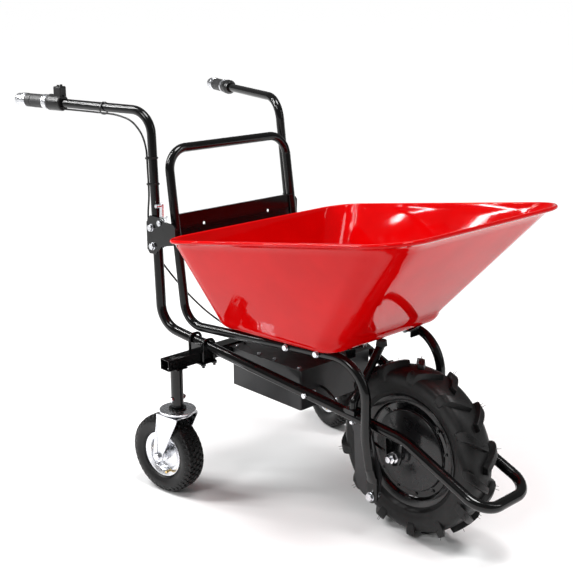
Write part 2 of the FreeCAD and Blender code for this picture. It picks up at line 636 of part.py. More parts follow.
# stator with wound teeth on the axle
teeth = 18
core = Part.makeCylinder(58.0, 32.0, V(0, 0, -16.0))
spokes = []
for k in range(teeth):
    t = Part.makeBox(40.0, 7.0, 28.0, V(50.0, -3.5, -14.0))
    shoe = Part.makeBox(5.0, 26.0, 28.0, V(90.0, -13.0, -14.0))
    t = t.fuse(shoe)
    t.rotate(V(0, 0, 0), V(0, 0, 1), 360.0 / teeth * k)
    spokes.append(t)
core = core.fuse(spokes)
core = core.common(Part.makeCylinder(97.5, 40.0, V(0, 0, -20.0)))
core = core.cut(Part.makeCylinder(S("axle_radius") + 0.02, 60.0, V(0, 0, -30.0)))
feature("motor_stator", core, wheel_pl)

AL = S("axle_length")
b = new_body("drive_axle", wheel_pl)
s = new_sketch(b, "axle_section")
sk_circle(s, 0.0, 0.0, S("axle_radius"), "Sizes.axle_radius")
p_ax = b.newObject("PartDesign::Pad", "axle_pad")
p_ax.Profile = s
p_ax.Length = AL
p_ax.Midplane = True
p_ax.setExpression("Length", "Sizes.axle_length")

# hanger plates from the loop tube down to the axle
HY = S("hanger_y")
HT = S("hanger_thickness")
hang_pts = [(-30.0, 300.0), (-24.0, 232.0), (-17.0, 212.0), (0.0, 206.0), (17.0, 212.0), (24.0, 232.0), (26.0, 300.0)]
w = Part.makePolygon([V(x, 0, z) for x, z in hang_pts + [hang_pts[0]]])
hang = Part.Face(w).extrude(V(0, -HT, 0))
hang.translate(V(0, -HY + HT / 2, 0))
hang = hang.cut(cyl((0, -HY - 20, RW), (0, 1, 0), S("axle_radius"), 60.0))
hang = hang.cut(loop_solid)
hang = sorted(hang.Solids, key=lambda q: -q.Volume)[0]
feature("axle_hangers", group([hang, mirror_y(hang)]))
nset = []
for sgn in (-1, 1):
    y0 = sgn * (HY + HT / 2)
    wsh = Part.makeCylinder(15.0, 2.0, V(0, y0, RW), V(0, sgn, 0))
    nn = hex_prism((0, y0 + sgn * 2.0, RW), (0, sgn, 0), 24.0, 12.0)
    q = wsh.fuse(nn).cut(cyl((0, -130, RW), (0, 1, 0), S("axle_radius"), 260.0))
    nset.append(q)
    yi = sgn * (HY - HT / 2)
    inner = hex_prism((0, yi, RW), (0, -sgn, 0), 24.0, 9.0).cut(cyl((0, -130, RW), (0, 1, 0), S("axle_radius"), 260.0))
    nset.append(inner)
feature("axle_nuts", group(nset))

# ring of cap screws that hold the motor covers
scr = []
for k in range(12):
    a = math.radians(30 * k + 12)
    for sg in (1, -1):
        head = Part.makeCylinder(4.2, 3.4, V(MR + 8.0, 0, 0) * 1.0 + V(0, 0, sg * 20.0), V(0, 0, sg))
        head = head.cut(Part.makeCylinder(1.9, 2.4, V(MR + 8.0, 0, sg * 21.2), V(0, 0, sg)))
        head.rotate(V(0, 0, 0), V(0, 0, 1), math.degrees(a))
        scr.append(head)
feature("cover_screws", group(scr), wheel_pl)

# ---------------------------------------------------------------- pivot plates and pivot bolts
TPL = S("plate_thickness")
PPY = 108.0                                    # inner face of the pivot plates
arc_pts = []
for k in range(0, 13):
    a = math.radians(190 + 15 * k)
    arc_pts.append((-58.0 + 42.0 * math.cos(a), 156.0 + 46.0 * math.sin(a)))
pl_pts = [(-122.0, 303.0), (-108.0, 270.0)] + arc_pts + [(-14.0, 180.0), (-52.0, 292.0)]
w = Part.makePolygon([V(x, 0, z) for x, z in pl_pts + [pl_pts[0]]])
pplate = Part.Face(w).extrude(V(0, -TPL, 0))
pplate.translate(V(0, -PPY, 0))
pplate = pplate.cut(loop_solid)
pplate = sorted(pplate.Solids, key=lambda q: -q.Volume)[0]
pplate = pplate.cut(cyl((PX, -140, PZ), (0, 1, 0), S("pivot_bolt_radius"), 80.0))
feature("pivot_plates", group([pplate, mirror_y(pplate)]))

LT = S("lug_thickness")
lug_in = -(PPY + TPL + 1.6)                     # face of the lug next to the plate
lug_out = lug_in - LT
pset = []
pb_ = bolt((PX, lug_out - 0.6, PZ), (0, 1, 0), S("pivot_bolt_radius"), (LT + 0.6) + 1.6 + TPL, nut=True, flats=19.0, washer=True)
pset += pb_
pset.append(Part.makeCylinder(13.0, 1.5, V(PX, -(PPY + TPL + 1.55), PZ), V(0, 1, 0)).cut(
    Part.makeCylinder(S("pivot_bolt_radius"), 10, V(PX, -(PPY + TPL + 5), PZ), V(0, 1, 0))))
feature("pivot_bolts", group(pset + [mirror_y(q) for q in pset]))

# ---------------------------------------------------------------- tipping frame
D_half = [T0, DR, DU, left(DU), left(DR), left(T0)]
pushbar, push_path, push_solid = tube_shape(D_half, [66.0, 60.0, 60.0, 66.0], RT, S("tilt_tube_wall"))
leg, leg_path, leg_solid = tube_shape([T0, DF, LEG1, LUG_TOP], [100.0, 160.0], RT, S("tilt_tube_wall"))
# flattened end of the leg with its eye
ldir = (V(*LUG_TOP) - V(*LEG1)).normalize()
c0 = Part.Wire([Part.Circle(V(*LUG_TOP), ldir, RT).toShape()])
lug_mid_y = (lug_in + lug_out) / 2
e1 = Part.Wire([Part.Ellipse(V(PX - 0.4, lug_mid_y, 158.0), 18.6, LT / 2 + 0.7).toShape()])
c0 = Part.Wire([Part.Circle(V(*LUG_TOP) - ldir * 6.0, ldir, RT + 0.25).toShape()])
flat = Part.makeLoft([c0, e1], True, True)
eye = Part.makeCylinder(18.0, LT, V(PX, lug_out, PZ), V(0, 1, 0))
eye = eye.fuse(box(PX - 17.0, PX + 17.0, lug_out, lug_in, PZ + 2.0, 176.0)).removeSplitter()
leg = leg.fuse(flat).fuse(eye)
leg = leg.cut(cyl((PX, -160, PZ), (0, 1, 0), S("pivot_bolt_radius") + 0.05, 80.0))
leg = leg.removeSplitter()

# sleeve bolts beside the rail joint
RBJ = [at_x(DR, DF, TJ - 32.0), at_x(DR, DF, TJ + 66.0)]
for q in RBJ:
    hcut = cyl((q[0], q[1] - 40, q[2]), (0, 1, 0), 4.2, 80.0)
    pushbar = pushbar.cut(hcut).cut(mirror_y(hcut))
    leg = leg.cut(hcut)
spr = V(*T0)
ur = (V(*DF) - V(*DR)).normalize()
spig2 = Part.makeCylinder(RT - S("tilt_tube_wall") - 0.05, 90.0, spr - ur * 45.0, ur)
spig2 = spig2.fuse(Part.makeCylinder(RT - S("tilt_tube_wall"), 45.0, spr, ur))
spig2 = spig2.cut(Part.makeCylinder(RT - 4.0, 90.0, spr - ur * 45.0, ur))
hcut = cyl((RBJ[0][0], RBJ[0][1] - 40, RBJ[0][2]), (0, 1, 0), 4.2, 80.0)
leg = leg.fuse(spig2.cut(hcut))
feature("push_bar", pushbar)
feature("tilt_leg_right", leg)
feature("tilt_leg_left", mirror_y(leg))

# pressed cross panel between the uprights of the push bar
lean = math.atan2(DR[0] - DU[0], DU[2] - DR[2])
PH = S("panel_height")
PSH = S("panel_sheet")
pc = at_z(DU, DR, 700.0)
half = abs(pc[1]) + 0.3
pn = box(-PSH / 2, PSH / 2, -half, half, -PH / 2, PH / 2)
pn = pn.fuse(box(-PSH / 2, 12.0, -half, half, PH / 2 - PSH, PH / 2))
pn = pn.fuse(box(-PSH / 2, 12.0, -half, half, -PH / 2, -PH / 2 + PSH))
for hy in (-120.0, 120.0):
    pn = pn.cut(Part.makeCylinder(4.25, 20.0, V(-10, hy, 18.0), V(1, 0, 0)))
pn.Placement = Placement(V(pc[0], 0, 700.0), rot_y(-math.degrees(lean)))
pn = pn.cut(push_solid)
pn = sorted(pn.Solids, key=lambda q: -q.Volume)[0]
feature("cross_panel", pn)

# ---------------------------------------------------------------- tub
TS = S("tub_sheet")
TB_TILT = math.degrees(math.atan2(23.0, 407.0))
TR_TILT = math.degrees(math.atan2(127.0, 785.0))
TB_C = (-315.0, 485.0)
TRIM_C = (-201.5, 785.0)
RLEN, RHW = S("tub_rim_length"), S("tub_rim_half_width")
BLEN, BHW = S("tub_base_length"), S("tub_base_half_width")


def rrect(l0, l1, w0, w1, r0, r1):
    """rounded outline from x=l0 (half width w0, radius r0) to x=l1 (w1, r1)"""
    k = 1 - math.sqrt(0.5)
    return [(l0 + r0, -w0), (l1 - r1, -w1), ("arc", (l1 - r1 * k, -w1 + r1 * k), (l1, -w1 + r1)), (l1, w1 - r1),
            ("arc", (l1 - r1 * k, w1 - r1 * k), (l1 - r1, w1)), (l0 + r0, w0), ("arc", (l0 + r0 * k, w0 - r0 * k), (l0, w0 - r0)),
            (l0, -w0 + r0), ("arc", (l0 + r0 * k, -w0 + r0 * k), (l0 + r0, -w0))]


def wire_of(pts, pl):
    edges = []
    cur = V(pts[0][0], pts[0][1], 0)
    for p in pts[1:]:
        if p[0] == "arc":
            e = V(p[2][0], p[2][1], 0)
            edges.append(Part.Arc(cur, V(p[1][0], p[1][1], 0), e).toShape())
        else:
            e = V(p[0], p[1], 0)
            edges.append(Part.LineSegment(cur, e).toShape())
        cur = e
    w_ = Part.Wire(edges)
    w_.Placement = pl
    return w_


def plane_pl(c, tilt, dz=0.0):
    r = rot_y(-tilt)
    return Placement(V(c[0], 0, c[1]) + r.multVec(V(0, 0, dz)), r)


def tub_solid(inset, lift, top):
    secs = [
        (rrect(-BLEN / 2 + 22 + inset, BLEN / 2 - 22 - inset, BHW - 22 - inset, BHW - 26 - inset, 40, 40), plane_pl(TB_C, TB_TILT, lift)),
        (rrect(-BLEN / 2 + 4 + inset, BLEN / 2 + 2 - inset, BHW - 4 - inset, BHW - 8 - inset, 52, 52), plane_pl(TB_C, TB_TILT, 8 + lift * 0.6)),
        (rrect(-BLEN / 2 - 10 + inset, BLEN / 2 + 18 - inset, BHW + 7 - inset, BHW + 3 - inset, 60, 62), plane_pl(TB_C, TB_TILT + 0.6, 28)),
        (rrect(-RLEN / 2 + inset, RLEN / 2 - inset, RHW - inset, RHW - 16 - inset, 76, 104), plane_pl(TRIM_C, TR_TILT, top)),
    ]
    wires = [wire_of(p_, pl_) for p_, pl_ in secs]
    return Part.makeLoft(wires, True, True)


outer = tub_solid(0.0, 0.0, 0.0)
inner = tub_solid(TS, TS, 0.0)
lip_in = Part.Face(wire_of(rrect(-RLEN / 2 + TS + 0.5, RLEN / 2 - TS - 0.5, RHW - TS - 0.5, RHW - 16 - TS - 0.5, 74, 102), plane_pl(TRIM_C, TR_TILT, -8.0)))
up = rot_y(-TR_TILT).multVec(V(0, 0, 1))
tubs = outer.cut(inner)
lip_o = Part.Face(wire_of(rrect(-RLEN / 2 - 7, RLEN / 2 + 7, RHW + 7, RHW - 9, 83, 111), plane_pl(TRIM_C, TR_TILT, -9.0))).extrude(up * 9.0)
lip_i = Part.Face(wire_of(rrect(-RLEN / 2 + TS, RLEN / 2 - TS, RHW - TS, RHW - 16 - TS, 74, 102), plane_pl(TRIM_C, TR_TILT, -12.0))).extrude(up * 20.0)
lip = lip_o.cut(lip_i)
tub_shape = tubs.fuse(lip).removeSplitter()

# front ears and rear strap that the tub is bolted to
EAR = []
ez = DF[2] + (-100.0 - DF[0]) * (DF[2] - DR[2]) / (DF[0] - DR[0])
tub_holes = []


def base_z(x, lift=0.0):
    return TB_C[1] + (x - TB_C[0]) * math.tan(math.radians(TB_TILT)) + lift


ear_pts = [(-150.0, -147.0), (-116.0, -140.0), (-104.0, -90.0), (-112.0, -80.0), (-136.0, -80.0)]
w = Part.makePolygon([V(x, y, base_z(x) - 3.6) for x, y in ear_pts + [ear_pts[0]]])
ear = Part.Face(w).extrude(V(0, 0, 3.0)).cut(leg_solid)
ear = sorted(ear.Solids, key=lambda q: -q.Volume)[0]
gus = box(-119.0, -115.0, -136.0, -106.0, base_z(-117.0) - 26.0, base_z(-117.0) - 4.4)
gus = gus.cut(leg_solid)
gus = sorted(gus.Solids, key=lambda q: -q.Volume)[0]
ear = ear.fuse(gus)
strap = box(-492.0, -452.0, -190.0, 190.0, 0.0, 4.0)
strap = strap.fuse(box(-492.0, -488.0, -186.0, 186.0, -14.0, 0.5))
strap.translate(V(0, 0, base_z(-472.0) - 5.6))
strap = sorted(strap.cut(push_solid).Solids, key=lambda q: -q.Volume)[0]
tb_pos = [(-132.0, -100.0), (-472.0, -150.0)]
ear = ear.cut(cyl((tb_pos[0][0], tb_pos[0][1], 440), (0, 0, 1), 4.2, 100))
for sy in (-1, 1):
    strap = strap.cut(cyl((tb_pos[1][0], sy * 150.0, 420), (0, 0, 1), 4.2, 100))
feature("tub_brackets", group([ear, mirror_y(ear), strap]))
tilt_bolts = []
for (bx_, by_) in tb_pos:
    for sy in (-1, 1):
        zt = base_z(bx_, TS + 0.6)
        h = cyl((bx_, sy * abs(by_), zt - 40), (0, 0, 1), 4.2, 80)
        tub_shape = tub_shape.cut(h)
        under_z = (base_z(bx_) - 3.6 - 1.0) if bx_ > -200 else (base_z(bx_) - 5.6)
        tilt_bolts += bolt((bx_, sy * abs(by_), zt), (0, 0, -1), 4.0, zt - under_z + 0.4, nut=True, flats=13.0, washer=False)
for q in RBJ:
    bb = bolt((q[0], q[1] - RT - 1.3, q[2]), (0, 1, 0), 4.0, 2 * RT + 2.6, nut=True, flats=14.0)
    tilt_bolts += bb + [mirror_y(k_) for k_ in bb]
feature("tub", tub_shape)

# striker pin for the latch, on the right-hand upright of the push bar
ST = at_z(DU, DR, 716.0)
striker = Part.makeCylinder(4.0, 32.0, V(ST[0], ST[1] - RT + 2.0, 716.0), V(0, -1, 0))
striker = striker.cut(push_solid)
striker = sorted(striker.Solids, key=lambda q: -q.Volume)[0]
tilt_bolts.append(striker)
feature("tilt_bolts", group(tilt_bolts))

# ---------------------------------------------------------------- latch lever
# turns on the right-hand plate; pushed forward, its hook drops over the striker pin
hook_y = PY + 1.0


def polar(r, deg):
    return (LVX + r * math.cos(math.radians(deg)), LVZ + r * math.sin(math.radians(deg)))


prof = [polar(10.0, 180.0), polar(10.5, 150.0), (LVX - 5.0, LVZ + 14.0), (LVX - 3.5, LVZ + 52.0), (LVX + 1.0, LVZ + 56.0), (LVX + 7.0, LVZ + 56.0),
        (LVX + 9.0, LVZ + 50.0), (LVX + 7.5, LVZ + 16.0), polar(27.0, 46.0), polar(32.0, 44.0), polar(34.0, 36.0), polar(32.5, 23.0),
        polar(29.0, 23.5), polar(27.0, 27.0), polar(12.0, 14.0), polar(10.0, -10.0), polar(10.0, -50.0), polar(10.0, -90.0), polar(10.0, -130.0)]
w = Part.makePolygon([V(x, 0, z) for x, z in prof + [prof[0]]])
lev = Part.Face(w).extrude(V(0, 4.0, 0))
lev.translate(V(0, hook_y, 0))
bar = Part.makeCylinder(5.0, 22.0, V(LVX + 3.0, hook_y - 18.0, LVZ + 49.0), V(0, 1, 0))
lev = lev.fuse(bar)
lev = lev.fuse(Part.makeCylinder(4.98, 16.0, V(LVX, PY - 9.0, LVZ), V(0, 1, 0)))
lev = lev.fuse(Part.makeCylinder(8.0, 3.0, V(LVX, PY - 4.0 - 4.0, LVZ), V(0, 1, 0)))
feature("latch_lever", lev.removeSplitter())

# ---------------------------------------------------------------- battery box, lid, pack, controller, cover
BLN, BHWX, BHT, BSH = S("box_length"), S("box_half_width"), S("box_height"), S("box_sheet")
bx1 = -284.0
bx0_ = bx1 - BLN
bz0 = 280.0
bz1 = bz0 + BHT


def y_lim(x):
    """room between the inclined main tubes at x"""
    return abs(at_x(RB, FB, x)[1]) - RF - 1.0


# trapezoid plan: it narrows forward with the main tubes
yr = min(y_lim(bx0_), BHWX + 4.0)
yf = min(y_lim(bx1), BHWX)
hang_low = [(bx0_, -yr), (bx1, -yf), (bx1, yf), (bx0_, yr)]


def frustum(pts, z0, z1):
    w_ = Part.makePolygon([V(x, y, z0) for x, y in pts + [pts[0]]])
    return Part.Face(w_).extrude(V(0, 0, z1 - z0))


def inset_pts(pts, d):
    (x0, y0), (x1, y1), (x2, y2), (x3, y3) = pts
    return [(x0 + d, y0 + d), (x1 - d, y1 + d), (x2 - d, y2 - d), (x3 + d, y3 - d)]


bb_o = frustum(hang_low, bz0, bz1)
bb_o = bb_o.makeFillet(6.0, [e for e in bb_o.Edges if e.BoundBox.ZLength > 50])
bbox_shape = bb_o.cut(frustum(inset_pts(hang_low, BSH), bz0 + BSH, bz1 + 1))
feature("battery_box", bbox_shape)
SPLIT = -428.0                                 # where the front lid meets the rear cover


def cut_x(pts, x0, x1):
    (ax, ay), (bx, by) = pts[0], pts[1]

    def yy(x):
        return abs(ay + (by - ay) * (x - ax) / (bx - ax))
    return [(x0, -yy(x0)), (x1, -yy(x1)), (x1, yy(x1)), (x0, yy(x0))]


lid_pts = cut_x(inset_pts(hang_low, -7.0), SPLIT + 0.5, bx1 + 7.0)
lid = frustum(lid_pts, bz1, bz1 + 3.0)
lid = lid.cut(lower_solid).cut(mirror_y(lower_solid)).cut(loop_solid)
lid = sorted(lid.Solids, key=lambda q: -q.Volume)[0]
feature("battery_lid", lid)
pack_pts = cut_x(inset_pts(hang_low, BSH + 4.0), SPLIT - 6.0, bx1 - BSH - 4.0)
cells = frustum(pack_pts, bz0 + BSH + 1.0, bz1 - 14.0)
feature("battery_pack", cells)

# controller in the rear half of the box, with its cover plate above
cc = box(bx0_ + 12.0, SPLIT - 22.0, -86.0, 86.0, bz0 + 46.0, bz1 - 12.0)
fins = [box(bx0_ + 12.0, SPLIT - 22.0, y, y + 3.0, bz0 + 34.0, bz0 + 46.5) for y in range(-84, 84, 14)]
cc = cc.fuse(fins + [box(bx0_ + 18.0, SPLIT - 28.0, -100.0, 100.0, bz0 + 60.0, bz0 + 66.0)])
feature("motor_controller", cc)
cov_pts = cut_x(inset_pts(hang_low, -10.0), bx0_ - 4.0, SPLIT)
cov = frustum(cov_pts, bz1, bz1 + 2.5)
cov = cov.cut(lower_solid).cut(mirror_y(lower_solid))
cov = cov.cut(box(BXX - BW / 2 - 0.6, BXX + BW / 2 + 0.6, -400, 400, BZ - BH / 2 - 0.6, BZ + BH / 2 + 0.6))
cov = cov.cut(cyl((-556.0, -108.0, 420.0), (26.0, 8.0, -40.0), 4.2, 60.0))
cov = sorted(cov.Solids, key=lambda q: -q.Volume)[0]
feature("controller_cover", cov)

# charge socket on the rear wall of the battery box
sock = Part.makeCylinder(13.0, 10.0, V(bx0_ - 10.0, -70.0, 322.0), V(1, 0, 0)).cut(
    Part.makeCylinder(8.0, 8.0, V(bx0_ - 10.1, -70.0, 322.0), V(1, 0, 0)))
sock = sock.fuse([Part.makeCylinder(1.2, 7.0, V(bx0_ - 8.0, -70.0 + 4.0 * math.cos(a), 322.0 + 4.0 * math.sin(a)), V(1, 0, 0)) for a in (0.5, 2.6, 4.7)])
feature("charge_socket", sock)

# ---------------------------------------------------------------- support strut with its rubber pad
SPX = -116.0
SP1 = (SPX, -8.0, base_z(SPX) - 15.0)
st_o, st_p, st_solid = tube_shape([(STRUT_X, SF[1], SF[2] + RF + 5.0), (STRUT_X, SF[1] + 2.0, SF[2] + RF + 24.0), SP1], [18.0], S("strut_dia") / 2)
foot = box(STRUT_X - 18.0, STRUT_X + 18.0, SF[1] - 16.0, SF[1] + 16.0, SF[2] + RF - 6.0, SF[2] + RF + 5.5).cut(loop_solid)
foot = sorted(foot.Solids, key=lambda q: -q.Volume)[0]
st_o = st_o.fuse(foot)
st_o = st_o.cut(cyl((SF[0], SF[1], SF[2] - 40), (0, 0, 1), 5.2, 40 + RF + 12))
topcut = box(-200, 0, -120, 120, base_z(SPX) - 19.0, base_z(SPX) + 60)
st_o = st_o.cut(topcut)
feature("support_strut", st_o.removeSplitter())
padz = base_z(SPX) - 19.0
rub = Part.makeCone(15.0, 13.0, 14.0, V(SPX, -9.0, padz))
feature("strut_pad", rub)

# ---------------------------------------------------------------- frame bolts (joint, clamp, latch, box)
fb = []
for zz, LL in ((718.0, L1), (667.0, L2)):
    bb = bolt((LL[0], PY - 4.0, zz), (0, 1, 0), 5.0, (LL[1] + RF + 0.8) - (PY - 4.0), nut=True, flats=17.0)
    fb += bb + [mirror_y(k_) for k_ in bb]
bb = bolt((JB[0], JB[1] - RF - 1.3, JB[2]), (0, 1, 0), 4.0, 2 * RF + 2.6, nut=True, flats=13.0, washer=False)
fb += bb + [mirror_y(k_) for k_ in bb]
bb = bolt((SF[0], SF[1], SF[2] - RF - 0.2), (0, 0, 1), 5.0, 2 * RF, nut=False, flats=15.0, washer=False)
shank = Part.makeCylinder(5.0, 2 * RF + 4.0, V(SF[0], SF[1], SF[2] - RF - 3.0))
hd = hex_prism((SF[0], SF[1], SF[2] - RF - 0.2), (0, 0, -1), 15.0, 7.0)
fb.append(shank.fuse(hd).removeSplitter())
shl = Part.makeCylinder(5.0, 2 * RF + 6.0, V(SF[0], -SF[1], SF[2] - RF - 3.0)).fuse(hex_prism((SF[0], -SF[1], SF[2] - RF - 0.2), (0, 0, -1), 15.0, 7.0))
shl = shl.fuse(hex_prism((SF[0], -SF[1], SF[2] + RF - 0.4), (0, 0, 1), 15.0, 8.0))
fb.append(shl.removeSplitter())
pbolt = bolt((BXX, -PYC - post_r, PLATE_TOP + 30.0), (0, 1, 0), 4.0, 2 * post_r, nut=True, flats=13.0, washer=False)
fb += pbolt + [mirror_y(k_) for k_ in pbolt]
for (qx, qy) in ((SPLIT + 40.0, -yf + 3.0), (bx1 - 12.0, -yf + 6.0), (bx1 - 2.0, 0.0)):
    for sy in ((1,) if qy == 0.0 else (1, -1)):
        fb.append(hex_prism((qx, qy * sy, bz1 + 3.0), (0, 0, 1), 10.0, 4.5))
for (qx, qy) in ((bx0_ + 18.0, -yr + 3.0), (SPLIT - 20.0, -yr + 4.0)):
    for sy in (1, -1):
        fb.append(hex_prism((qx, qy * sy, bz1 + 2.5), (0, 0, 1), 10.0, 4.5))
def trimmed(q_, walls):
    for w_ in walls:
        if q_.BoundBox.intersect(w_.BoundBox):
            q_ = q_.cut(w_)
    return sorted(q_.Solids, key=lambda t_: -t_.Volume)[0]


fb = [trimmed(q_, (loop, lower, mirror_y(lower))) for q_ in fb]
feature("frame_bolts", group(fb))

# ---------------------------------------------------------------- cables held by the frame
CR = 2.6
hz = RH + CR + 1.2
a0 = V(*TIP) + u_h * 181.0
A = [(a0.x, a0.y, a0.z - 20.0)]
for st_ in (225.0, 300.0, 375.0, 420.0):
    q = V(*TIP) + u_h * st_
    A.append((q.x, q.y, q.z - hz - 1.5))
A.append((-800.0, -241.0, 1003.0))
up1 = at_z(HB, RB, 965.0)
up2 = at_z(HB, RB, 880.0)
up3 = at_z(HB, RB, 800.0)
off = RF + CR + 2.0
A.append((up1[0] - off + 1, up1[1] + 2.0, 962.0))
A.append((up2[0] - off, up2[1] + 1.0, 885.0))
A.append((up3[0] - off, up3[1] + 1.0, 815.0))


def cord(pts, r):
    rad = []
    for i in range(1, len(pts) - 1):
        a = V(*pts[i - 1]) - V(*pts[i])
        b_ = V(*pts[i + 1]) - V(*pts[i])
        turn = math.pi - a.getAngle(b_)
        short = min(a.Length, b_.Length)
        rad.append(min(0.45 * short / math.tan(max(turn, 1e-3) / 2), 2500.0))
    path = bent_path(pts, rad)
    return sweep_round(path, r), path, rad


def beside(z, r):
    q_ = at_z(HB, RB, z)
    return (q_[0] - 0.77 * (r + CR + 1.4), q_[1] - 0.63 * (r + CR + 1.4), z)


CABLE = [(-1068.0, -316.0, 1016.4), (-1020.0, -303.0, 1016.0), (-945.0, -283.0, 1015.2), (-880.0, -266.0, 1013.6),
         (-826.0, -254.0, 1001.0), (-792.0, -246.5, 968.0), beside(930.0, RH), beside(802.0, RH),
         (-765.0, -256.0, 752.0), (-769.0, -252.0, 712.0), (-768.0, -244.0, 664.0), (-756.0, -226.0, 616.0),
         (-732.0, -197.0, 562.0), (-696.0, -170.0, 512.0), (-652.0, -148.0, 472.0), (-604.0, -126.0, 442.0), (-556.0, -108.0, 420.0),
         (-530.0, -100.0, 380.0)]
cshape, cpath, crad = cord(CABLE, CR)
print("throttle cable length %.0f, smallest radius %.1f" % (cpath.Length, min(crad)))
feature("throttle_cable", cshape)
MC = [(-284.0, -60.0, 330.0), (-262.0, -62.0, 330.0), (-232.0, -70.0, 322.0), (-196.0, -79.0, 306.0), (-160.0, -84.0, 290.0),
      (-122.0, -86.0, 272.0), (-84.0, -87.0, 256.0), (-48.0, -90.5, 247.0), (-22.0, -94.5, 244.0)]
mshape, mpath, mrad = cord(MC, 4.0)
print("motor cable length %.0f, smallest radius %.1f" % (mpath.Length, min(mrad)))
feature("motor_cable", mshape)


def tie(c, d, r):
    c = V(*c)
    d = V(*d).normalize()
    t = Part.makeCylinder(r + 1.4, 5.0, c - d * 2.5, d).cut(Part.makeCylinder(r, 5.0, c - d * 2.5, d))
    return t


ties = []
q = V(*TIP) + u_h * 330.0
ties.append(tie((q.x, q.y, q.z - 3.4), u_h, RH + CR + 1.7))
dirup = (V(*RB) - V(*HB))
for zt_ in (905.0, 835.0):
    q2 = V(*at_z(HB, RB, zt_))
    ties.append(tie((q2.x - 0.77 * 3.4, q2.y - 0.63 * 3.4, q2.z), dirup, RH + CR + 1.5))
feature("cable_ties", group(ties))

# ---------------------------------------------------------------- write
doc.recompute()
os.makedirs("parts", exist_ok=True)
bad = []
for o in doc.Objects:
    if "Invalid" in o.State or "Error" in o.State:
        bad.append(o.Name)
for o in NODES:
    if o.Shape.isNull() or not o.Shape.isValid():
        bad.append("shape:" + o.Label)
if bad:
    raise RuntimeError("failed objects: " + ", ".join(bad))
labels = [o.Label for o in NODES]
if len(set(labels)) != len(labels):
    raise RuntimeError("labels repeat")
box_all = None
for o in NODES:
    bb = o.Shape.BoundBox
    box_all = bb if box_all is None else box_all.united(bb)
    o.Shape.exportStep("parts/%s.step" % o.Label)
print("nodes", len(NODES))
print("box x %.1f..%.1f y %.1f..%.1f z %.1f..%.1f" % (box_all.XMin, box_all.XMax, box_all.YMin, box_all.YMax, box_all.ZMin, box_all.ZMax))
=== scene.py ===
import bpy, bmesh, json, math, random
from mathutils import Vector, Matrix


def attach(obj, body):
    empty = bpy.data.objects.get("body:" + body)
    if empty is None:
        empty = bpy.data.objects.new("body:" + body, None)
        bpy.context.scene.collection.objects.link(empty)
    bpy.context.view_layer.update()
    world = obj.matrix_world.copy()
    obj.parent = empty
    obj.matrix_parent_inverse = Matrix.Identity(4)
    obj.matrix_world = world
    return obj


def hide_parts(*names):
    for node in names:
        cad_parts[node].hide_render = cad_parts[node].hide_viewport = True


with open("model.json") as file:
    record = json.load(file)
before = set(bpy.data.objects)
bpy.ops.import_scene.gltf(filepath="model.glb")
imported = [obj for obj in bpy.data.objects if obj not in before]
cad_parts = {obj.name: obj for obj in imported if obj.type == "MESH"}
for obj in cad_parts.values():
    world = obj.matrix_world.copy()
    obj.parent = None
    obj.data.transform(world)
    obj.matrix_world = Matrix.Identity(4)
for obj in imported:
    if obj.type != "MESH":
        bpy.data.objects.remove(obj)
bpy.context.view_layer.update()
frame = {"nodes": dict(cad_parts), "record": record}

random.seed(7)
scene = bpy.context.scene
nodes = frame["nodes"]
DX = 0.47395                      # drive axle in the row frame
TAU = 2 * math.pi


def P(x, y, z):
    """millimetres measured from the drive axle to metres in the row frame"""
    return Vector((x / 1000.0 + DX, y / 1000.0, z / 1000.0))


# ------------------------------------------------------------------ materials
def new_mat(name):
    m = bpy.data.materials.new(name)
    m.use_nodes = True
    nt = m.node_tree
    nt.nodes.clear()
    out = nt.nodes.new("ShaderNodeOutputMaterial")
    b = nt.nodes.new("ShaderNodeBsdfPrincipled")
    nt.links.new(b.outputs["BSDF"], out.inputs["Surface"])
    tc = nt.nodes.new("ShaderNodeTexCoord")
    return m, nt, b, tc


def noise(nt, tc, scale, detail=3.0, rough=0.55, dist=0.0):
    n = nt.nodes.new("ShaderNodeTexNoise")
    n.inputs["Scale"].default_value = scale
    n.inputs["Detail"].default_value = detail
    n.inputs["Roughness"].default_value = rough
    n.inputs["Distortion"].default_value = dist
    nt.links.new(tc.outputs["Object"], n.inputs["Vector"])
    return n


def ramp(nt, src, a, b, ca, cb):
    r = nt.nodes.new("ShaderNodeValToRGB")
    r.color_ramp.elements[0].position = a
    r.color_ramp.elements[1].position = b
    r.color_ramp.elements[0].color = tuple(ca) + (1,) if len(ca) == 3 else ca
    r.color_ramp.elements[1].color = tuple(cb) + (1,) if len(cb) == 3 else cb
    nt.links.new(src, r.inputs["Fac"])
    return r


def maprange(nt, src, lo, hi, a=0.3, b=0.7):
    m = nt.nodes.new("ShaderNodeMapRange")
    m.inputs["From Min"].default_value = a
    m.inputs["From Max"].default_value = b
    m.inputs["To Min"].default_value = lo
    m.inputs["To Max"].default_value = hi
    nt.links.new(src, m.inputs["Value"])
    return m


def bump(nt, b, height, strength, distance, prev=None):
    n = nt.nodes.new("ShaderNodeBump")
    n.inputs["Strength"].default_value = strength
    n.inputs["Distance"].default_value = distance
    nt.links.new(height, n.inputs["Height"])
    if prev is not None:
        nt.links.new(prev.outputs["Normal"], n.inputs["Normal"])
    nt.links.new(n.outputs["Normal"], b.inputs["Normal"])
    return n


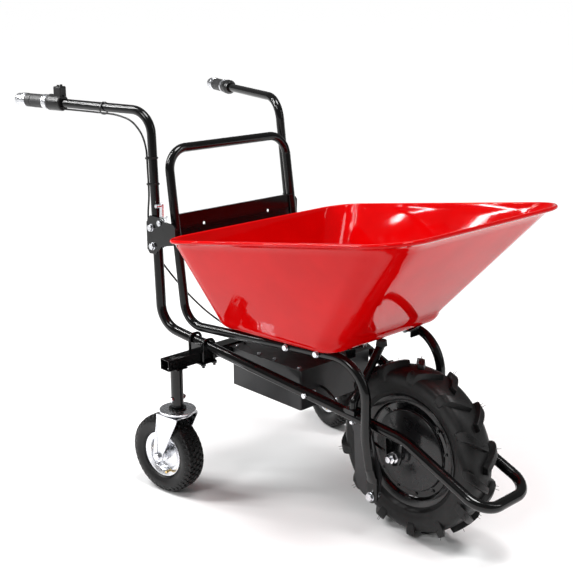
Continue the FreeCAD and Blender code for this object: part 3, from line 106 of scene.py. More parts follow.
def paint(name, dark, light, r0, r1, coat=0.5, peel=0.04, peel_scale=420.0, dust=0.0, spec=0.5):
    m, nt, b, tc = new_mat(name)
    n1 = noise(nt, tc, 9.0, 5.0)
    c = ramp(nt, n1.outputs["Fac"], 0.35, 0.7, dark, light)
    last = c.outputs["Color"]
    if dust > 0:
        # pale dust settles on faces that look up
        geo = nt.nodes.new("ShaderNodeNewGeometry")
        sep = nt.nodes.new("ShaderNodeSeparateXYZ")
        nt.links.new(geo.outputs["Normal"], sep.inputs["Vector"])
        up = maprange(nt, sep.outputs["Z"], 0.0, dust, 0.3, 1.0)
        n3 = noise(nt, tc, 60.0, 6.0, 0.7)
        mul = nt.nodes.new("ShaderNodeMath")
        mul.operation = "MULTIPLY"
        nt.links.new(up.outputs["Result"], mul.inputs[0])
        nt.links.new(n3.outputs["Fac"], mul.inputs[1])
        mix = nt.nodes.new("ShaderNodeMix")
        mix.data_type = "RGBA"
        nt.links.new(mul.outputs[0], mix.inputs["Factor"])
        nt.links.new(last, mix.inputs["A"])
        mix.inputs["B"].default_value = (0.16, 0.15, 0.14, 1)
        last = mix.outputs["Result"]
    nt.links.new(last, b.inputs["Base Color"])
    n2 = noise(nt, tc, 34.0, 6.0, 0.6)
    rr = maprange(nt, n2.outputs["Fac"], r0, r1)
    nt.links.new(rr.outputs["Result"], b.inputs["Roughness"])
    b.inputs["Coat Weight"].default_value = coat
    b.inputs["Coat Roughness"].default_value = 0.05
    b.inputs["Specular IOR Level"].default_value = spec
    n4 = noise(nt, tc, peel_scale, 2.0, 0.5)
    bump(nt, b, n4.outputs["Fac"], peel, 0.0006)
    return m


def metal(name, dark, light, r0, r1, scale=30.0, bump_s=0.05, metallic=1.0, grain=None):
    m, nt, b, tc = new_mat(name)
    n1 = noise(nt, tc, scale, 4.0, 0.6)
    c = ramp(nt, n1.outputs["Fac"], 0.3, 0.75, dark, light)
    nt.links.new(c.outputs["Color"], b.inputs["Base Color"])
    n2 = noise(nt, tc, scale * 3.1, 5.0, 0.65)
    rr = maprange(nt, n2.outputs["Fac"], r0, r1)
    nt.links.new(rr.outputs["Result"], b.inputs["Roughness"])
    b.inputs["Metallic"].default_value = metallic
    n3 = noise(nt, tc, grain or 700.0, 3.0, 0.6)
    bump(nt, b, n3.outputs["Fac"], bump_s, 0.0005)
    return m


def rubber(name, dark, light, r0, r1, fine=900.0, bump_s=0.25, dust=0.0, spec=0.35, coat=0.0):
    m, nt, b, tc = new_mat(name)
    n1 = noise(nt, tc, 14.0, 6.0, 0.65)
    c = ramp(nt, n1.outputs["Fac"], 0.3, 0.75, dark, light)
    last = c.outputs["Color"]
    if dust > 0:
        n5 = noise(nt, tc, 120.0, 5.0, 0.7)
        f = ramp(nt, n5.outputs["Fac"], 0.52, 0.80, (0, 0, 0), (dust, dust, dust))
        mix = nt.nodes.new("ShaderNodeMix")
        mix.data_type = "RGBA"
        nt.links.new(f.outputs["Color"], mix.inputs["Factor"])
        nt.links.new(last, mix.inputs["A"])
        mix.inputs["B"].default_value = (0.11, 0.105, 0.10, 1)
        last = mix.outputs["Result"]
    nt.links.new(last, b.inputs["Base Color"])
    n2 = noise(nt, tc, 45.0, 5.0, 0.6)
    rr = maprange(nt, n2.outputs["Fac"], r0, r1)
    nt.links.new(rr.outputs["Result"], b.inputs["Roughness"])
    b.inputs["Specular IOR Level"].default_value = spec
    b.inputs["Coat Weight"].default_value = coat
    n3 = noise(nt, tc, fine, 4.0, 0.6)
    bump(nt, b, n3.outputs["Fac"], bump_s, 0.0006)
    return m


MAT = {
    "black_paint": paint("gloss_black", (0.0012, 0.0012, 0.0013), (0.003, 0.003, 0.0032), 0.10, 0.18, coat=0.10, peel=0.03, dust=0.006, spec=0.30),
    "red_paint": paint("gloss_red", (0.49, 0.0004, 0.0008), (0.56, 0.0006, 0.0012), 0.025, 0.055, coat=0.0, peel=0.02, peel_scale=300.0, dust=0.0, spec=0.14),
    "dark_plate": paint("satin_grey", (0.010, 0.010, 0.011), (0.020, 0.020, 0.021), 0.30, 0.46, coat=0.08, peel=0.14, peel_scale=800.0, dust=0.07, spec=0.35),
    "rim_black": paint("rim_gloss", (0.0016, 0.0016, 0.0018), (0.004, 0.004, 0.0045), 0.10, 0.20, coat=0.2, peel=0.03, dust=0.012, spec=0.35),
    "cover_black": paint("cover_satin", (0.005, 0.005, 0.0055), (0.010, 0.010, 0.011), 0.22, 0.36, coat=0.12, peel=0.08, peel_scale=600.0, dust=0.02, spec=0.35),
    "zinc": metal("bright_zinc", (0.58, 0.59, 0.62), (0.82, 0.83, 0.86), 0.16, 0.36, 40.0, 0.06),
    "chrome_nut": metal("chrome", (0.74, 0.74, 0.76), (0.90, 0.90, 0.92), 0.06, 0.16, 55.0, 0.03),
    "alloy": metal("cast_alloy", (0.42, 0.43, 0.45), (0.60, 0.61, 0.63), 0.34, 0.52, 60.0, 0.25, grain=1400.0),
    "magnet": metal("magnet_steel", (0.14, 0.14, 0.15), (0.24, 0.24, 0.25), 0.30, 0.50, 60.0, 0.10),
    "copper": metal("winding", (0.42, 0.17, 0.08), (0.66, 0.30, 0.14), 0.28, 0.44, 90.0, 0.30, grain=1600.0),
    "tyre": rubber("tyre_rubber", (0.0022, 0.0022, 0.0023), (0.0055, 0.0055, 0.0057), 0.34, 0.54, 700.0, 0.18, dust=0.05, spec=0.28),
    "grip_rubber": rubber("grip_rubber", (0.011, 0.011, 0.0115), (0.024, 0.024, 0.025), 0.36, 0.54, 1300.0, 0.22, spec=0.45),
    "pad_rubber": rubber("pad_rubber", (0.012, 0.012, 0.012), (0.022, 0.022, 0.022), 0.55, 0.75, 900.0, 0.30),
    "cable_rubber": rubber("cable_jacket", (0.003, 0.003, 0.003), (0.008, 0.008, 0.008), 0.28, 0.42, 1500.0, 0.10, spec=0.4),
    "black_plastic": rubber("black_plastic", (0.004, 0.004, 0.0043), (0.009, 0.009, 0.0095), 0.24, 0.38, 1700.0, 0.12, spec=0.35, coat=0.08),
    "pack_wrap": rubber("pack_wrap", (0.01, 0.03, 0.10), (0.02, 0.05, 0.15), 0.20, 0.34, 500.0, 0.20, spec=0.5),
    "button_red": rubber("button_red", (0.42, 0.012, 0.010), (0.56, 0.02, 0.016), 0.18, 0.30, 1500.0, 0.05, spec=0.5, coat=0.3),
    "brass": metal("brass", (0.55, 0.38, 0.14), (0.78, 0.58, 0.26), 0.18, 0.34, 80.0, 0.05),
    "white_mark": rubber("silver_film", (0.40, 0.41, 0.43), (0.58, 0.59, 0.61), 0.25, 0.40, 1200.0, 0.05),
}
# smoked window
m, nt, b, tc = new_mat("smoked_window")
n_ = noise(nt, tc, 60.0, 4.0)
c_ = ramp(nt, n_.outputs["Fac"], 0.3, 0.7, (0.012, 0.015, 0.018), (0.022, 0.026, 0.030))
nt.links.new(c_.outputs["Color"], b.inputs["Base Color"])
r_ = maprange(nt, n_.outputs["Fac"], 0.04, 0.10)
nt.links.new(r_.outputs["Result"], b.inputs["Roughness"])
b.inputs["Coat Weight"].default_value = 0.6
MAT["lens"] = m

slot_of = {}
for sp in frame["record"].get("subparts", []):
    slot_of[sp["node"]] = sp["material_slot"]


def set_mat(obj, key):
    obj.data.materials.clear()
    obj.data.materials.append(MAT[key])


# ------------------------------------------------------------------ mesh helpers
def mesh_obj(name, verts, faces, key, body, smooth=True, sharp=35.0, rep=()):
    me = bpy.data.meshes.new(name)
    me.from_pydata([tuple(v) for v in verts], [], faces)
    bm = bmesh.new()
    bm.from_mesh(me)
    bmesh.ops.remove_doubles(bm, verts=bm.verts, dist=1e-7)
    bmesh.ops.recalc_face_normals(bm, faces=bm.faces)
    bm.to_mesh(me)
    bm.free()
    if smooth:
        me.polygons.foreach_set("use_smooth", [True] * len(me.polygons))
        if sharp:
            me.set_sharp_from_angle(angle=math.radians(sharp))
    me.update()
    ob = bpy.data.objects.new(name, me)
    scene.collection.objects.link(ob)
    set_mat(ob, key)
    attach(ob, body)
    if rep:
        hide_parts(*rep)
    return ob


def add_bevel(ob, width, segs=2, angle=32.0):
    md = ob.modifiers.new("soft_edge", "BEVEL")
    md.width = width
    md.segments = segs
    md.limit_method = "ANGLE"
    md.angle_limit = math.radians(angle)
    md.harden_normals = False
    md.use_clamp_overlap = True
    return md


class Buf:
    def __init__(self):
        self.v = []
        self.f = []

    def add(self, vs, fs):
        n = len(self.v)
        self.v.extend(vs)
        self.f.extend([tuple(i + n for i in q) for q in fs])


def lathe(profile, segs, to3d, closed=True):
    """profile (a list of (r, h)) turned about an axis; to3d(r, ang, h) gives a point"""
    vs, fs = [], []
    n = len(profile)
    for i in range(segs):
        a = TAU * i / segs
        for (r, h) in profile:
            vs.append(to3d(r, a, h))
    for i in range(segs):
        j = (i + 1) % segs
        for k in range(n if closed else n - 1):
            l = (k + 1) % n
            fs.append((i * n + k, i * n + l, j * n + l, j * n + k))
    return vs, fs


def frame_of(u):
    u = u.normalized()
    t = Vector((0, 0, 1)) if abs(u.z) < 0.9 else Vector((1, 0, 0))
    e1 = (t - u * t.dot(u)).normalized()
    e2 = u.cross(e1)
    return u, e1, e2


def ball_pen(points, r, segs=8, r_end=None):
    """a closed thin rod through points"""
    vs, fs = [], []
    pts = [Vector(p) for p in points]
    n = len(pts)
    e1 = None
    for i, p in enumerate(pts):
        t = (pts[min(i + 1, n - 1)] - pts[max(i - 1, 0)]).normalized()
        if e1 is None:
            _, e1, e2 = frame_of(t)
        else:
            e1 = (e1 - t * e1.dot(t)).normalized()
            e2 = t.cross(e1)
        rr = r if r_end is None else r + (r_end - r) * i / (n - 1)
        for k in range(segs):
            a = TAU * k / segs
            vs.append(p + e1 * (rr * math.cos(a)) + e2 * (rr * math.sin(a)))
    for i in range(n - 1):
        for k in range(segs):
            l = (k + 1) % segs
            fs.append((i * segs + k, i * segs + l, (i + 1) * segs + l, (i + 1) * segs + k))
    fs.append(tuple(reversed(range(segs))))
    fs.append(tuple((n - 1) * segs + k for k in range(segs)))
    return vs, fs


def prism(centre, u, r, h, sides=6, spin=0.0, r2=None):
    u, e1, e2 = frame_of(u)
    r2 = r if r2 is None else r2
    vs = []
    for (rr, hh) in ((r, 0.0), (r2, h)):
        for k in range(sides):
            a = TAU * k / sides + spin
            vs.append(centre + u * hh + e1 * (rr * math.cos(a)) + e2 * (rr * math.sin(a)))
    fs = [tuple(reversed(range(sides))), tuple(range(sides, 2 * sides))]
    for k in range(sides):
        l = (k + 1) % sides
        fs.append((k, l, sides + l, sides + k))
    return vs, fs


# ------------------------------------------------------------------ drive tyre: carcass and curved lugs
WC = P(0, 0, 230)


def wheel_pt(r, a, y):
    """r, y in mm, a in radians round the drive axle"""
    return Vector((WC.x + r / 1000 * math.cos(a), y / 1000, WC.z + r / 1000 * math.sin(a)))


def mirror_profile(half):
    """half: list of (r, y>=0) from the bead outwards to the crown; returns a closed loop"""
    return [(r, y) for r, y in half] + [(r, -y) for r, y in reversed(half) if y > 1e-6]


outer_half = [(134.6, 27.0), (137.5, 28.5), (141.0, 30.5), (145.5, 31.4), (149.5, 31.8), (152.0, 33.6), (156.0, 37.4), (158.0, 40.2), (160.5, 41.2),
              (163.0, 41.4), (170.0, 44.6), (178.0, 46.4), (186.0, 47.0), (193.0, 46.6), (199.0, 45.2), (204.0, 42.6), (208.5, 38.5), (211.5, 33.0),
              (213.5, 26.0), (214.6, 18.0), (215.2, 9.0), (215.4, 0.0)]
inner_half = [(134.6, 22.0), (140.0, 25.0), (150.0, 29.0), (162.0, 35.0), (178.0, 40.0), (192.0, 39.0), (201.0, 33.0), (206.0, 22.0), (207.5, 0.0)]
outer_loop = mirror_profile(outer_half)
inner_loop = mirror_profile(inner_half)
loop = outer_loop + list(reversed(inner_loop))
tyre = Buf()
vs, fs = lathe(loop, 144, lambda r, a, h: wheel_pt(r, a, h))
tyre.add(vs, fs)

top_path = [(-6, 229.2), (4, 229.4), (14, 229.2), (24, 228.6), (33, 227.4), (40, 225.4), (45.0, 222.0), (48.2, 216.5), (49.6, 209.0), (50.0, 201.0), (49.6, 193.0), (48.2, 187.0)]
base_path = [(-6, 212), (4, 212), (14, 212), (24, 210.5), (32, 208), (37, 204), (40.0, 200), (41.5, 196), (42.5, 192), (43.0, 188), (43.5, 184), (44.0, 181)]
shift = [50, 43, 36, 28, 20, 12.5, 7.5, 4.0, 2.0, 1.0, 0.4, 0.0]
wt = [8.4, 9.0, 9.6, 10.2, 10.8, 11.6, 12.4, 12.9, 12.9, 12.4, 11.4, 10.2]
wb = [12.0, 12.9, 13.6, 14.3, 15.0, 15.8, 16.4, 16.6, 16.4, 15.6, 14.4, 12.9]
NL = 13


def lug(side, a0):
    vs, fs = [], []
    n = len(top_path)
    for i in range(n):
        yt, rt = top_path[i]
        yb, rb = base_path[i]
        for (y, r, w) in ((yb, rb, -wb[i]), (yt, rt, -wt[i]), (yt + 0.0, rt + (0.25 if i < 6 else 0.0), 0.0), (yt, rt, wt[i]), (yb, rb, wb[i])):
            ang = a0 - (shift[i] + w) / 222.0
            vs.append(wheel_pt(r, ang, y * side))
    for i in range(n - 1):
        for k in range(4):
            fs.append((i * 5 + k, i * 5 + k + 1, (i + 1) * 5 + k + 1, (i + 1) * 5 + k))
        fs.append((i * 5 + 4, i * 5, (i + 1) * 5, (i + 1) * 5 + 4))
    fs.append((0, 1, 2, 3, 4))
    fs.append(tuple((n - 1) * 5 + k for k in (4, 3, 2, 1, 0)))
    return vs, fs


lugs = Buf()
hairs = Buf()
for side in (-1, 1):
    for k in range(NL):
        a0 = TAU * (k + (0.5 if side > 0 else 0.0)) / NL + 0.05
        vs, fs = lug(side, a0)
        lugs.add(vs, fs)
        # vent hairs at the shoulder and near the nose of the lug
        for (yy, rr, ss, ln, tilt) in ((45.0, 221.0, 9.0, 11.0, 0.6), (47.0, 218.0, 2.5, 10.0, 0.9), (49.0, 205.0, 6.0, 9.0, 2.5), (12.0, 229.0, 39.0, 9.0, 0.05)):
            ang = a0 - ss / 222.0
            base = wheel_pt(rr, ang, yy * side)
            if base.z < 0.020 or random.random() < 0.22:
                continue
            d = Vector((math.cos(ang), side * tilt, math.sin(ang))).normalized()
            lean = Vector((random.uniform(-.3, .3), random.uniform(-.3, .3), random.uniform(-.3, .3)))
            mid = base + d * ln * 0.5e-3 + lean * 0.6e-3
            tip = base + d * ln * 1e-3 + lean * 2.4e-3
            vs, fs = ball_pen([base - d * 0.002, base, mid, tip], 0.00085, 6, 0.00045)
            hairs.add(vs, fs)
    # shallow ribs and ring marks on the sidewall
    for k in range(60):
        a0 = TAU * k / 60
        vs = []
        for (r, y) in ((165.5, 42.6), (168.0, 43.8)):
            for da in (-0.010, 0.010):
                vs.append(wheel_pt(r, a0 + da, side * y))
        lowv = [wheel_pt(r, a0 + da, side * (y - 1.6)) for (r, y) in ((165.5, 42.6), (168.0, 43.8)) for da in (-0.010, 0.010)]
        vv = vs + lowv
        lugs.add(vv, [(0, 1, 3, 2), (4, 6, 7, 5), (0, 2, 6, 4), (1, 5, 7, 3), (0, 4, 5, 1), (2, 3, 7, 6)])

body_tyre = mesh_obj("drive_tyre_carcass", tyre.v, tyre.f, "tyre", "drive_wheel", sharp=50.0, rep=("drive_tyre",))
lug_obj = mesh_obj("drive_tyre_lugs", lugs.v, lugs.f, "tyre", "drive_wheel", sharp=34.0)
add_bevel(lug_obj, 0.0011, 2, 36.0)
hair_obj = mesh_obj("drive_tyre_vents", hairs.v, hairs.f, "tyre", "drive_wheel", sharp=60.0)


# ------------------------------------------------------------------ caster tyres with small blocks
def caster_tyre(tag, yaw_deg, side):
    a = math.radians(yaw_deg)
    post = P(-576.0, side * 316.0, 112.0)
    c = post + Vector((-0.040 * math.cos(a), -0.040 * math.sin(a), 0.0))
    ex = Vector((math.cos(a), math.sin(a), 0))
    ey = Vector((-math.sin(a), math.cos(a), 0))
    ez = Vector((0, 0, 1))

    def pt(r, ang, y):
        return c + ex * (r / 1000 * math.cos(ang)) + ez * (r / 1000 * math.sin(ang)) + ey * (y / 1000)
    half_o = [(58.6, 18.5), (61.0, 21.5), (65.5, 22.4), (67.5, 24.5), (69.5, 27.6), (72.0, 29.2), (74.0, 29.4), (78.0, 31.6), (84.0, 33.2), (90.0, 33.6),
              (95.0, 32.8), (99.0, 30.8), (102.5, 27.0), (105.0, 21.5), (106.8, 14.0), (107.6, 7.0), (107.9, 0.0)]
    half_i = [(58.6, 14.0), (66.0, 18.0), (76.0, 24.0), (88.0, 26.0), (98.0, 20.0), (102.0, 10.0), (103.0, 0.0)]
    lp = mirror_profile(half_o) + list(reversed(mirror_profile(half_i)))
    bf = Buf()
    vs, fs = lathe(lp, 96, pt)
    bf.add(vs, fs)
    ob = mesh_obj("caster_tyre_carcass_" + tag, bf.v, bf.f, "tyre", "caster_wheel_" + tag, sharp=50.0, rep=("caster_tyre_" + tag,))
    bl = Buf()
    rows = [(0.0, 111.7, 104.5, 5.0, 0.0), (11.6, 111.2, 104.0, 4.6, 0.5), (-11.6, 111.2, 104.0, 4.6, 0.5), (21.6, 109.0, 100.5, 4.4, 0.0), (-21.6, 109.0, 100.5, 4.4, 0.0)]
    n = 40
    for (y, rt, rb, hw, ph) in rows:
        for k in range(n):
            a0 = TAU * (k + ph) / n
            da_t, da_b = 0.050, 0.060
            tw = 1 if y >= 0 else -1
            sk = 0.012 * (1 if k % 2 else -1) if y == 0 else 0.0
            drop = 0.9 if abs(y) > 20 else 0.25
            vv = []
            for (r, da, w) in ((rb, da_b, hw + 0.9), (rt, da_t, hw)):
                for (sa, sy) in ((-1, -1), (1, -1), (1, 1), (-1, 1)):
                    yy = y + sy * w
                    rr = r - (drop if sy * tw > 0 and r == rt else 0.0)
                    vv.append(pt(rr, a0 + sa * da + sk * sy, yy))
            bl.add(vv, [(3, 2, 1, 0), (4, 5, 6, 7), (0, 1, 5, 4), (1, 2, 6, 5), (2, 3, 7, 6), (3, 0, 4, 7)])
    for sd in (-1, 1):
        for k in range(n):
            a0 = TAU * (k + 0.5) / n
            vv = []
            for (off, da) in ((0.0, 0.046), (1.0, 0.036)):
                for (r, y) in ((104.6, 25.4), (95.0, 32.2)):
                    rr, yy = (r + 3.0 * off, y + 1.3 * off) if r > 100 else (r + 0.4 * off, y + 1.6 * off)
                    rr2, yy2 = (rr, yy) if off else (rr - 4.0, yy - 2.0)
                    for s2 in (-1, 1):
                        vv.append(pt(rr2, a0 + s2 * da, sd * yy2))
            bl.add(vv, [(0, 1, 3, 2), (4, 6, 7, 5), (0, 2, 6, 4), (1, 5, 7, 3), (0, 4, 5, 1), (2, 3, 7, 6)])
    ob2 = mesh_obj("caster_tread_" + tag, bl.v, bl.f, "tyre", "caster_wheel_" + tag, sharp=34.0)
    add_bevel(ob2, 0.0007, 1, 36.0)
    # valve stem with its cap
    vb = Buf()
    for (r0, r1, yy) in ((52.0, 52.0, 18.0),):
        ang = math.radians(-62)
        b0 = pt(50.0, ang, side * -20.0 if False else -20.0)
        d = (pt(50.0, ang, -36.0) - b0).normalized()
        vs, fs = prism(b0 - d * 0.004, d, 0.0031, 0.012, 16)
        vb.add(vs, fs)
        vs, fs = prism(b0 + d * 0.008, d, 0.0042, 0.009, 12, r2=0.0038)
        vb.add(vs, fs)
    st = mesh_obj("valve_stem_" + tag, vb.v, vb.f, "brass", "caster_wheel_" + tag, sharp=40.0)
    add_bevel(st, 0.0005, 2)
    return pt


pt_r = caster_tyre("right", 9.0, -1)
pt_l = caster_tyre("left", -14.0, 1)

# ------------------------------------------------------------------ tub with a rolled rim
TS = 2.0
BLEN, BHW, RLEN, RHW = 430.0, 220.0, 808.0, 336.0
TB_TILT = math.degrees(math.atan2(23.0, 407.0))
TR_TILT = math.degrees(math.atan2(127.0, 785.0))
TB_C = (-315.0, 485.0)
TRIM_C = (-201.5, 785.0)


def rr_loop(l0, l1, w0, w1, r0, r1, nc=14, ns=22):
    """rounded outline, same number of points each time; counter-clockwise from the rear right"""
    pts = []

    def arc(cx, cy, r, a0):
        for i in range(nc + 1):
            a = a0 + math.radians(90.0 * i / nc)
            pts.append((cx + r * math.cos(a), cy + r * math.sin(a)))

    def line(p, q):
        for i in range(1, ns):
            t = i / ns
            pts.append((p[0] + (q[0] - p[0]) * t, p[1] + (q[1] - p[1]) * t))
    line((l0 + r0, -w0), (l1 - r1, -w1))
    arc(l1 - r1, -w1 + r1, r1, -math.pi / 2)
    line((l1, -w1 + r1), (l1, w1 - r1))
    arc(l1 - r1, w1 - r1, r1, 0.0)
    line((l1 - r1, w1), (l0 + r0, w0))
    arc(l0 + r0, w0 - r0, r0, math.pi / 2)
    line((l0, w0 - r0), (l0, -w0 + r0))
    arc(l0 + r0, -w0 + r0, r0, math.pi)
    return pts


def on_plane(pts, c, tilt, dz=0.0):
    t = math.radians(tilt)
    out = []
    for (x, y) in pts:
        # rotation about Y by -tilt: +x rises
        X = c[0] + x * math.cos(t) - dz * math.sin(t)
        Z = c[1] + x * math.sin(t) + dz * math.cos(t)
        out.append(Vector((X, y, Z)))
    return out


def tub_rows(ins, lift):
    A = on_plane(rr_loop(-BLEN / 2 + 26 + ins, BLEN / 2 - 26 - ins, BHW - 26 - ins, BHW - 30 - ins, 36, 36), TB_C, TB_TILT, lift)
    B = on_plane(rr_loop(-BLEN / 2 - 0 + ins, BLEN / 2 + 8 - ins, BHW - 0 - ins, BHW - 4 - ins, 54, 54), TB_C, TB_TILT, lift)
    C = on_plane(rr_loop(-BLEN / 2 - 11 + ins, BLEN / 2 + 19.5 - ins, BHW + 8 - ins, BHW + 4 - ins, 61, 63), TB_C, TB_TILT + 0.6, 31 + lift * 0.3)
    D = on_plane(rr_loop(-RLEN / 2 + ins, RLEN / 2 - ins, RHW - ins, RHW - 16 - ins, 76, 104), TRIM_C, TR_TILT, 0.0)
    rows = []
    cen = Vector((TB_C[0], 0, TB_C[1] + lift))
    for s in (0.02, 0.25, 0.5, 0.75, 0.92):
        rows.append([cen + (a - cen) * s for a in A])
    for i in range(0, 9):
        t = i / 8.0
        rows.append([a * ((1 - t) ** 2) + b_ * (2 * t * (1 - t)) + c * (t * t) for a, b_, c in zip(A, B, C)])
    for i in range(1, 17):
        t = i / 16.0
        t = t ** 1.0
        rows.append([c + (d - c) * t for c, d in zip(C, D)])
    return rows


in_rows = tub_rows(TS, TS)
out_rows = tub_rows(0.0, 0.0)
rim_in = in_rows[-1]
up = Vector((-math.sin(math.radians(TR_TILT)), 0, math.cos(math.radians(TR_TILT))))
rim_plane_c = Vector((TRIM_C[0], 0, TRIM_C[1]))
wall_out = out_rows[-1]
# outward direction in the rim plane at each rim point
n_r = len(wall_out)
outd = []
for i in range(n_r):
    t = (wall_out[(i + 1) % n_r] - wall_out[i - 1]).normalized()
    o = t.cross(up).normalized()
    outd.append(o)
bead = []
cr = 4.9
for k in range(0, 15):
    a = math.radians(178 - k * 20.5)
    ring = []
    for i in range(n_r):
        c = wall_out[i] + outd[i] * 2.4 - up * 4.6
        ring.append(c + outd[i] * (cr * math.cos(a)) + up * (cr * math.sin(a)))
    bead.append(ring)
rows = in_rows[:-1] + bead
low_out = [r for r in out_rows[:-1]]
rows += list(reversed(low_out))
vs, fs = [], []
for r_ in rows:
    vs.extend([P(p.x, p.y, p.z) for p in r_])
m_ = len(rows)
for i in range(m_ - 1):
    for k in range(n_r):
        l = (k + 1) % n_r
        fs.append((i * n_r + k, i * n_r + l, (i + 1) * n_r + l, (i + 1) * n_r + k))
fs.append(tuple(range(n_r)))
fs.append(tuple((m_ - 1) * n_r + k for k in range(n_r)))
tub = mesh_obj("tub_shell", vs, fs, "red_paint", "tilt_frame", sharp=60.0, rep=("tub",))


# ------------------------------------------------------------------ knurled grips
TIP = Vector((-1244.0, -363.0, 1035.0))
HB = Vector((-768.0, -234.0, 1030.0))
u_r = (HB - TIP).normalized()
u_l = Vector((u_r.x, -u_r.y, u_r.z))
TIP_L = Vector((TIP.x, -TIP.y, TIP.z))


def knurl(name, origin, u, s0, s1, r_prof, bore, body, rep, fine=4.2, depth=0.55, plain=(), rib_from=None):
    """sleeve from station s0 to s1 with a diamond pattern cut in it; r_prof(s) gives the radius"""
    u, e1, e2 = frame_of(u)
    nt_, step = 132, 1.05
    ns_ = int((s1 - s0) / step)
    vs, fs = [], []
    rings = []
    rings.append([bore] * nt_)
    for j in range(ns_ + 1):
        s = s0 + (s1 - s0) * j / ns_
        ring = []
        for k in range(nt_):
            a = TAU * k / nt_
            r = r_prof(s - s0)
            if not any(p0 <= s - s0 <= p1 for p0, p1 in plain):
                arc = a * 19.5
                h1 = abs(((arc + (s - s0)) / fine) % 1.0 - 0.5) * 2
                h2 = abs(((arc - (s - s0)) / fine) % 1.0 - 0.5) * 2
                r += depth * (min(h1, h2) ** 0.8) - depth * 0.5
            ring.append(r)
        rings.append(ring)
    rings.append([bore] * nt_)
    stations = [s0] + [s0 + (s1 - s0) * j / ns_ for j in range(ns_ + 1)] + [s1]
    for ring, s in zip(rings, stations):
        for k in range(nt_):
            a = TAU * k / nt_
            q = origin + u * s + e1 * (ring[k] * math.cos(a)) + e2 * (ring[k] * math.sin(a))
            vs.append(P(q.x, q.y, q.z))
    n = len(rings)
    for i in range(n):
        j = (i + 1) % n
        for k in range(nt_):
            l = (k + 1) % nt_
            fs.append((i * nt_ + k, i * nt_ + l, j * nt_ + l, j * nt_ + k))
    return mesh_obj(name, vs, fs, "grip_rubber", body, sharp=None, rep=(rep,))


def prof_fixed(L):
    def f(s):
        r = 19.2
        if s < 3.0:
            r = 18.2 + s / 3.0
        if s > L - 3.0:
            r = 18.2 + (L - s) / 3.0
        return r
    return f


def prof_throttle(s):
    L = 72.0
    r = 19.4
    if s < 2.0:
        r = 18.6 + s * 0.4
    for g in (47.0, 50.5, 54.0):
        if abs(s - g) < 1.2:
            r -= 1.1
    if s > 58.0:
        t = min((s - 58.0) / 11.0, 1.0)
        r = 19.6 + 3.8 * t * t
    if s > L - 1.4:
        r = 23.2 - (s - (L - 1.4)) * 0.8
    return r


def prof_left(s):
    L = 107.0
    r = 19.2
    if s < 3.0:
        r = 18.2 + s / 3.0
    if s > 98.0:
        t = min((s - 98.0) / 6.0, 1.0)
        r = 19.4 + 2.4 * t * t
    if s > L - 1.2:
        r = 21.6 - (s - (L - 1.2)) * 0.8
    return r


knurl("grip_right_knurl", TIP, u_r, 26.3, 61.3, prof_fixed(35.0), 12.45, "chassis", "grip_right", plain=((0.0, 4.0), (31.5, 36.0)))
knurl("throttle_knurl", TIP, u_r, 62.2, 134.2, prof_throttle, 12.5, "throttle", "throttle_sleeve", plain=((0.0, 2.5), (44.0, 80.0)))
knurl("grip_left_knurl", TIP_L, u_l, 26.3, 133.3, prof_left, 12.45, "chassis", "grip_left", plain=((0.0, 4.0), (94.0, 110.0)))



def band(name, origin, u, prof, body):
    """bright turned ring on a grip; prof gives (station, radius) from end to end"""
    u, e1, e2 = frame_of(u)
    lp = [(s_, r_) for s_, r_ in prof] + [(prof[-1][0], 18.4), (prof[0][0], 18.4)]
    n_, vs, fs = 96, [], []
    for s_, r_ in lp:
        for k in range(n_):
            a = TAU * k / n_
            q = origin + u * s_ + e1 * (r_ * math.cos(a)) + e2 * (r_ * math.sin(a))
            vs.append(P(q.x, q.y, q.z))
    for i in range(len(lp)):
        j = (i + 1) % len(lp)
        for k in range(n_):
            l = (k + 1) % n_
            fs.append((i * n_ + k, i * n_ + l, j * n_ + l, j * n_ + k))
    return mesh_obj(name, vs, fs, "zinc", body, sharp=30.0)


band("grip_cap_sleeve_right", TIP, u_r, [(26.4, 19.2), (27.0, 19.9), (33.0, 20.0), (33.6, 19.5), (34.6, 19.5), (35.2, 20.0), (41.0, 19.9), (41.6, 19.2)], "chassis")
band("throttle_ring", TIP, u_r, [(108.0, 19.8), (108.8, 20.8), (113.0, 20.8), (113.6, 20.0), (115.0, 20.0), (115.6, 20.8), (119.6, 20.8), (120.2, 20.0), (121.4, 20.0), (122.0, 21.2), (124.6, 21.4), (125.2, 20.4)], "throttle")
band("grip_cap_sleeve_left", TIP_L, u_l, [(26.4, 19.2), (27.0, 19.9), (33.0, 20.0), (33.6, 19.5), (34.6, 19.5), (35.2, 20.0), (41.0, 19.9), (41.6, 19.2)], "chassis")
band("grip_ring_left", TIP_L, u_l, [(106.0, 19.6), (106.6, 20.5), (110.0, 20.5), (110.4, 19.9), (111.4, 19.9), (111.8, 20.5), (115.4, 20.5), (116.0, 19.6)], "chassis")

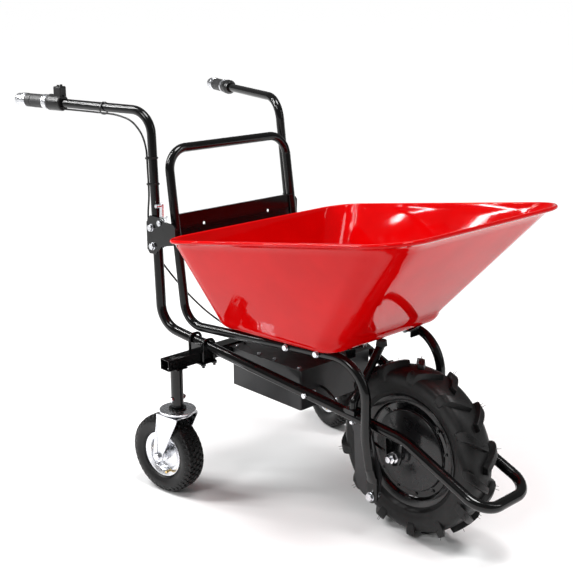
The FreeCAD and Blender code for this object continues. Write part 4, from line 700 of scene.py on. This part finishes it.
# ------------------------------------------------------------------ CAD nodes that stay as they are: soft edges and materials
BEVELS = {
    "latch_plates": 0.0008, "caster_beam": 0.0016, "beam_clamps": 0.0006, "caster_posts": 0.0006, "caster_plates": 0.0005, "axle_hangers": 0.0010,
    "axle_nuts": 0.0005, "pivot_plates": 0.0010, "pivot_bolts": 0.0004, "battery_box": 0.0010, "battery_lid": 0.0008, "battery_pack": 0.002,
    "controller_cover": 0.0008, "motor_controller": 0.0008, "charge_socket": 0.0006, "frame_bolts": 0.0004, "cross_panel": 0.0008, "tub_brackets": 0.0007,
    "tilt_bolts": 0.0004, "motor_cover_right": 0.0012, "motor_cover_left": 0.0012, "cover_screws": 0.0004, "caster_fork_right": 0.0007,
    "caster_fork_left": 0.0007, "caster_axle_right": 0.0004, "caster_axle_left": 0.0004, "caster_rim_right": 0.0008, "caster_rim_left": 0.0008,
    "latch_lever": 0.0005, "key_switch": 0.0004, "direction_button": 0.0003, "display_box": 0.0006, "display_lens": 0.0003, "throttle_housing": 0.0008,
    "grip_collar_left": 0.0008, "drive_rim": 0.0010, "drive_axle": 0.0006, "grip_end_caps": 0.0003, "cable_ties": 0.0002, "support_strut": 0.0005, "strut_pad": 0.0010,
}
for name, ob in nodes.items():
    set_mat(ob, {"direction_button": "black_plastic", "cover_screws": "rim_black", "key_switch": "rim_black", "grip_end_caps": "zinc", "charge_socket": "black_plastic"}.get(name, slot_of.get(name, "black_paint")))
    if ob.hide_render:
        continue
    me = ob.data
    me.polygons.foreach_set("use_smooth", [True] * len(me.polygons))
    w = ob.modifiers.new("weld", "WELD")
    w.merge_threshold = 0.00001
    if name in BEVELS:
        add_bevel(ob, BEVELS[name], 2, 34.0)
    sm = ob.modifiers.new("weighted", "WEIGHTED_NORMAL")
    sm.keep_sharp = True

# ------------------------------------------------------------------ floor, light, camera
bm = bmesh.new()
bmesh.ops.create_grid(bm, x_segments=2, y_segments=2, size=80.0)
me = bpy.data.meshes.new("floor")
bm.to_mesh(me)
bm.free()
floor = bpy.data.objects.new("floor", me)
scene.collection.objects.link(floor)
mf, nt, b, tc = new_mat("floor_pale")
b.inputs["Base Color"].default_value = (0.90, 0.90, 0.90, 1)
b.inputs["Roughness"].default_value = 0.75
b.inputs["Specular IOR Level"].default_value = 0.15
floor.data.materials.append(mf)

world = bpy.data.worlds.new("studio")
scene.world = world
world.use_nodes = True
bg = world.node_tree.nodes["Background"]
bg.inputs["Color"].default_value = (1.0, 1.0, 1.0, 1)
bg.inputs["Strength"].default_value = 0.20


def area(name, loc, target, sx, sy, radiance, color=(1, 1, 1)):
    """soft box; radiance is what a mirror would see in it"""
    l = bpy.data.lights.new(name, "AREA")
    l.shape = "RECTANGLE"
    l.size = sx
    l.size_y = sy
    l.energy = radiance * math.pi * sx * sy
    l.color = color
    o = bpy.data.objects.new(name, l)
    scene.collection.objects.link(o)
    o.location = loc
    d = Vector(target) - Vector(loc)
    o.rotation_mode = "QUATERNION"
    o.rotation_quaternion = d.to_track_quat("-Z", "Y")
    return o


def sun(name, az, el, strength, angle):
    l = bpy.data.lights.new(name, "SUN")
    l.energy = strength
    l.angle = math.radians(angle)
    o = bpy.data.objects.new(name, l)
    scene.collection.objects.link(o)
    a, e = math.radians(az), math.radians(el)
    back = Vector((math.sin(a) * math.cos(e), -math.cos(a) * math.cos(e), math.sin(e)))
    o.rotation_mode = "QUATERNION"
    o.rotation_quaternion = (-back).to_track_quat("-Z", "Y")
    return o


sun("key", 8.0, 36.0, 0.70, 14.0)
sun("top", 100.0, 74.0, 2.75, 22.0)
area("strip_a", (-1.02, -1.38, 2.20), (0.45, 0.28, 0.68), 0.07, 1.5, 90)
area("strip_b", (-1.22, -1.18, 2.20), (0.45, 0.28, 0.68), 0.05, 1.5, 90)
area("strip_c", (-1.46, -0.90, 2.20), (0.45, 0.28, 0.68), 0.035, 1.5, 90)
area("edge_box", (2.6, 1.6, 2.2), (0.1, 0, 0.5), 0.3, 1.8, 7)

AZ, EL, F = 46.9922, 16.3678, 1045.271
cam_d = bpy.data.cameras.new("camera")
cam_d.sensor_width = 36.0
cam_d.sensor_fit = "HORIZONTAL"
cam_d.lens = F * 36.0 / 573.0
cam = bpy.data.objects.new("camera", cam_d)
scene.collection.objects.link(cam)
a, e = math.radians(AZ), math.radians(EL)
back = Vector((math.sin(a) * math.cos(e), -math.cos(a) * math.cos(e), math.sin(e)))
cam.location = P(1555.1, -1898.6, 1370.4)
cam.rotation_mode = "QUATERNION"
cam.rotation_quaternion = (-back).to_track_quat("-Z", "Y")
cam_d.clip_start, cam_d.clip_end = 0.05, 100
scene.camera = cam
scene.view_settings.view_transform = "Standard"
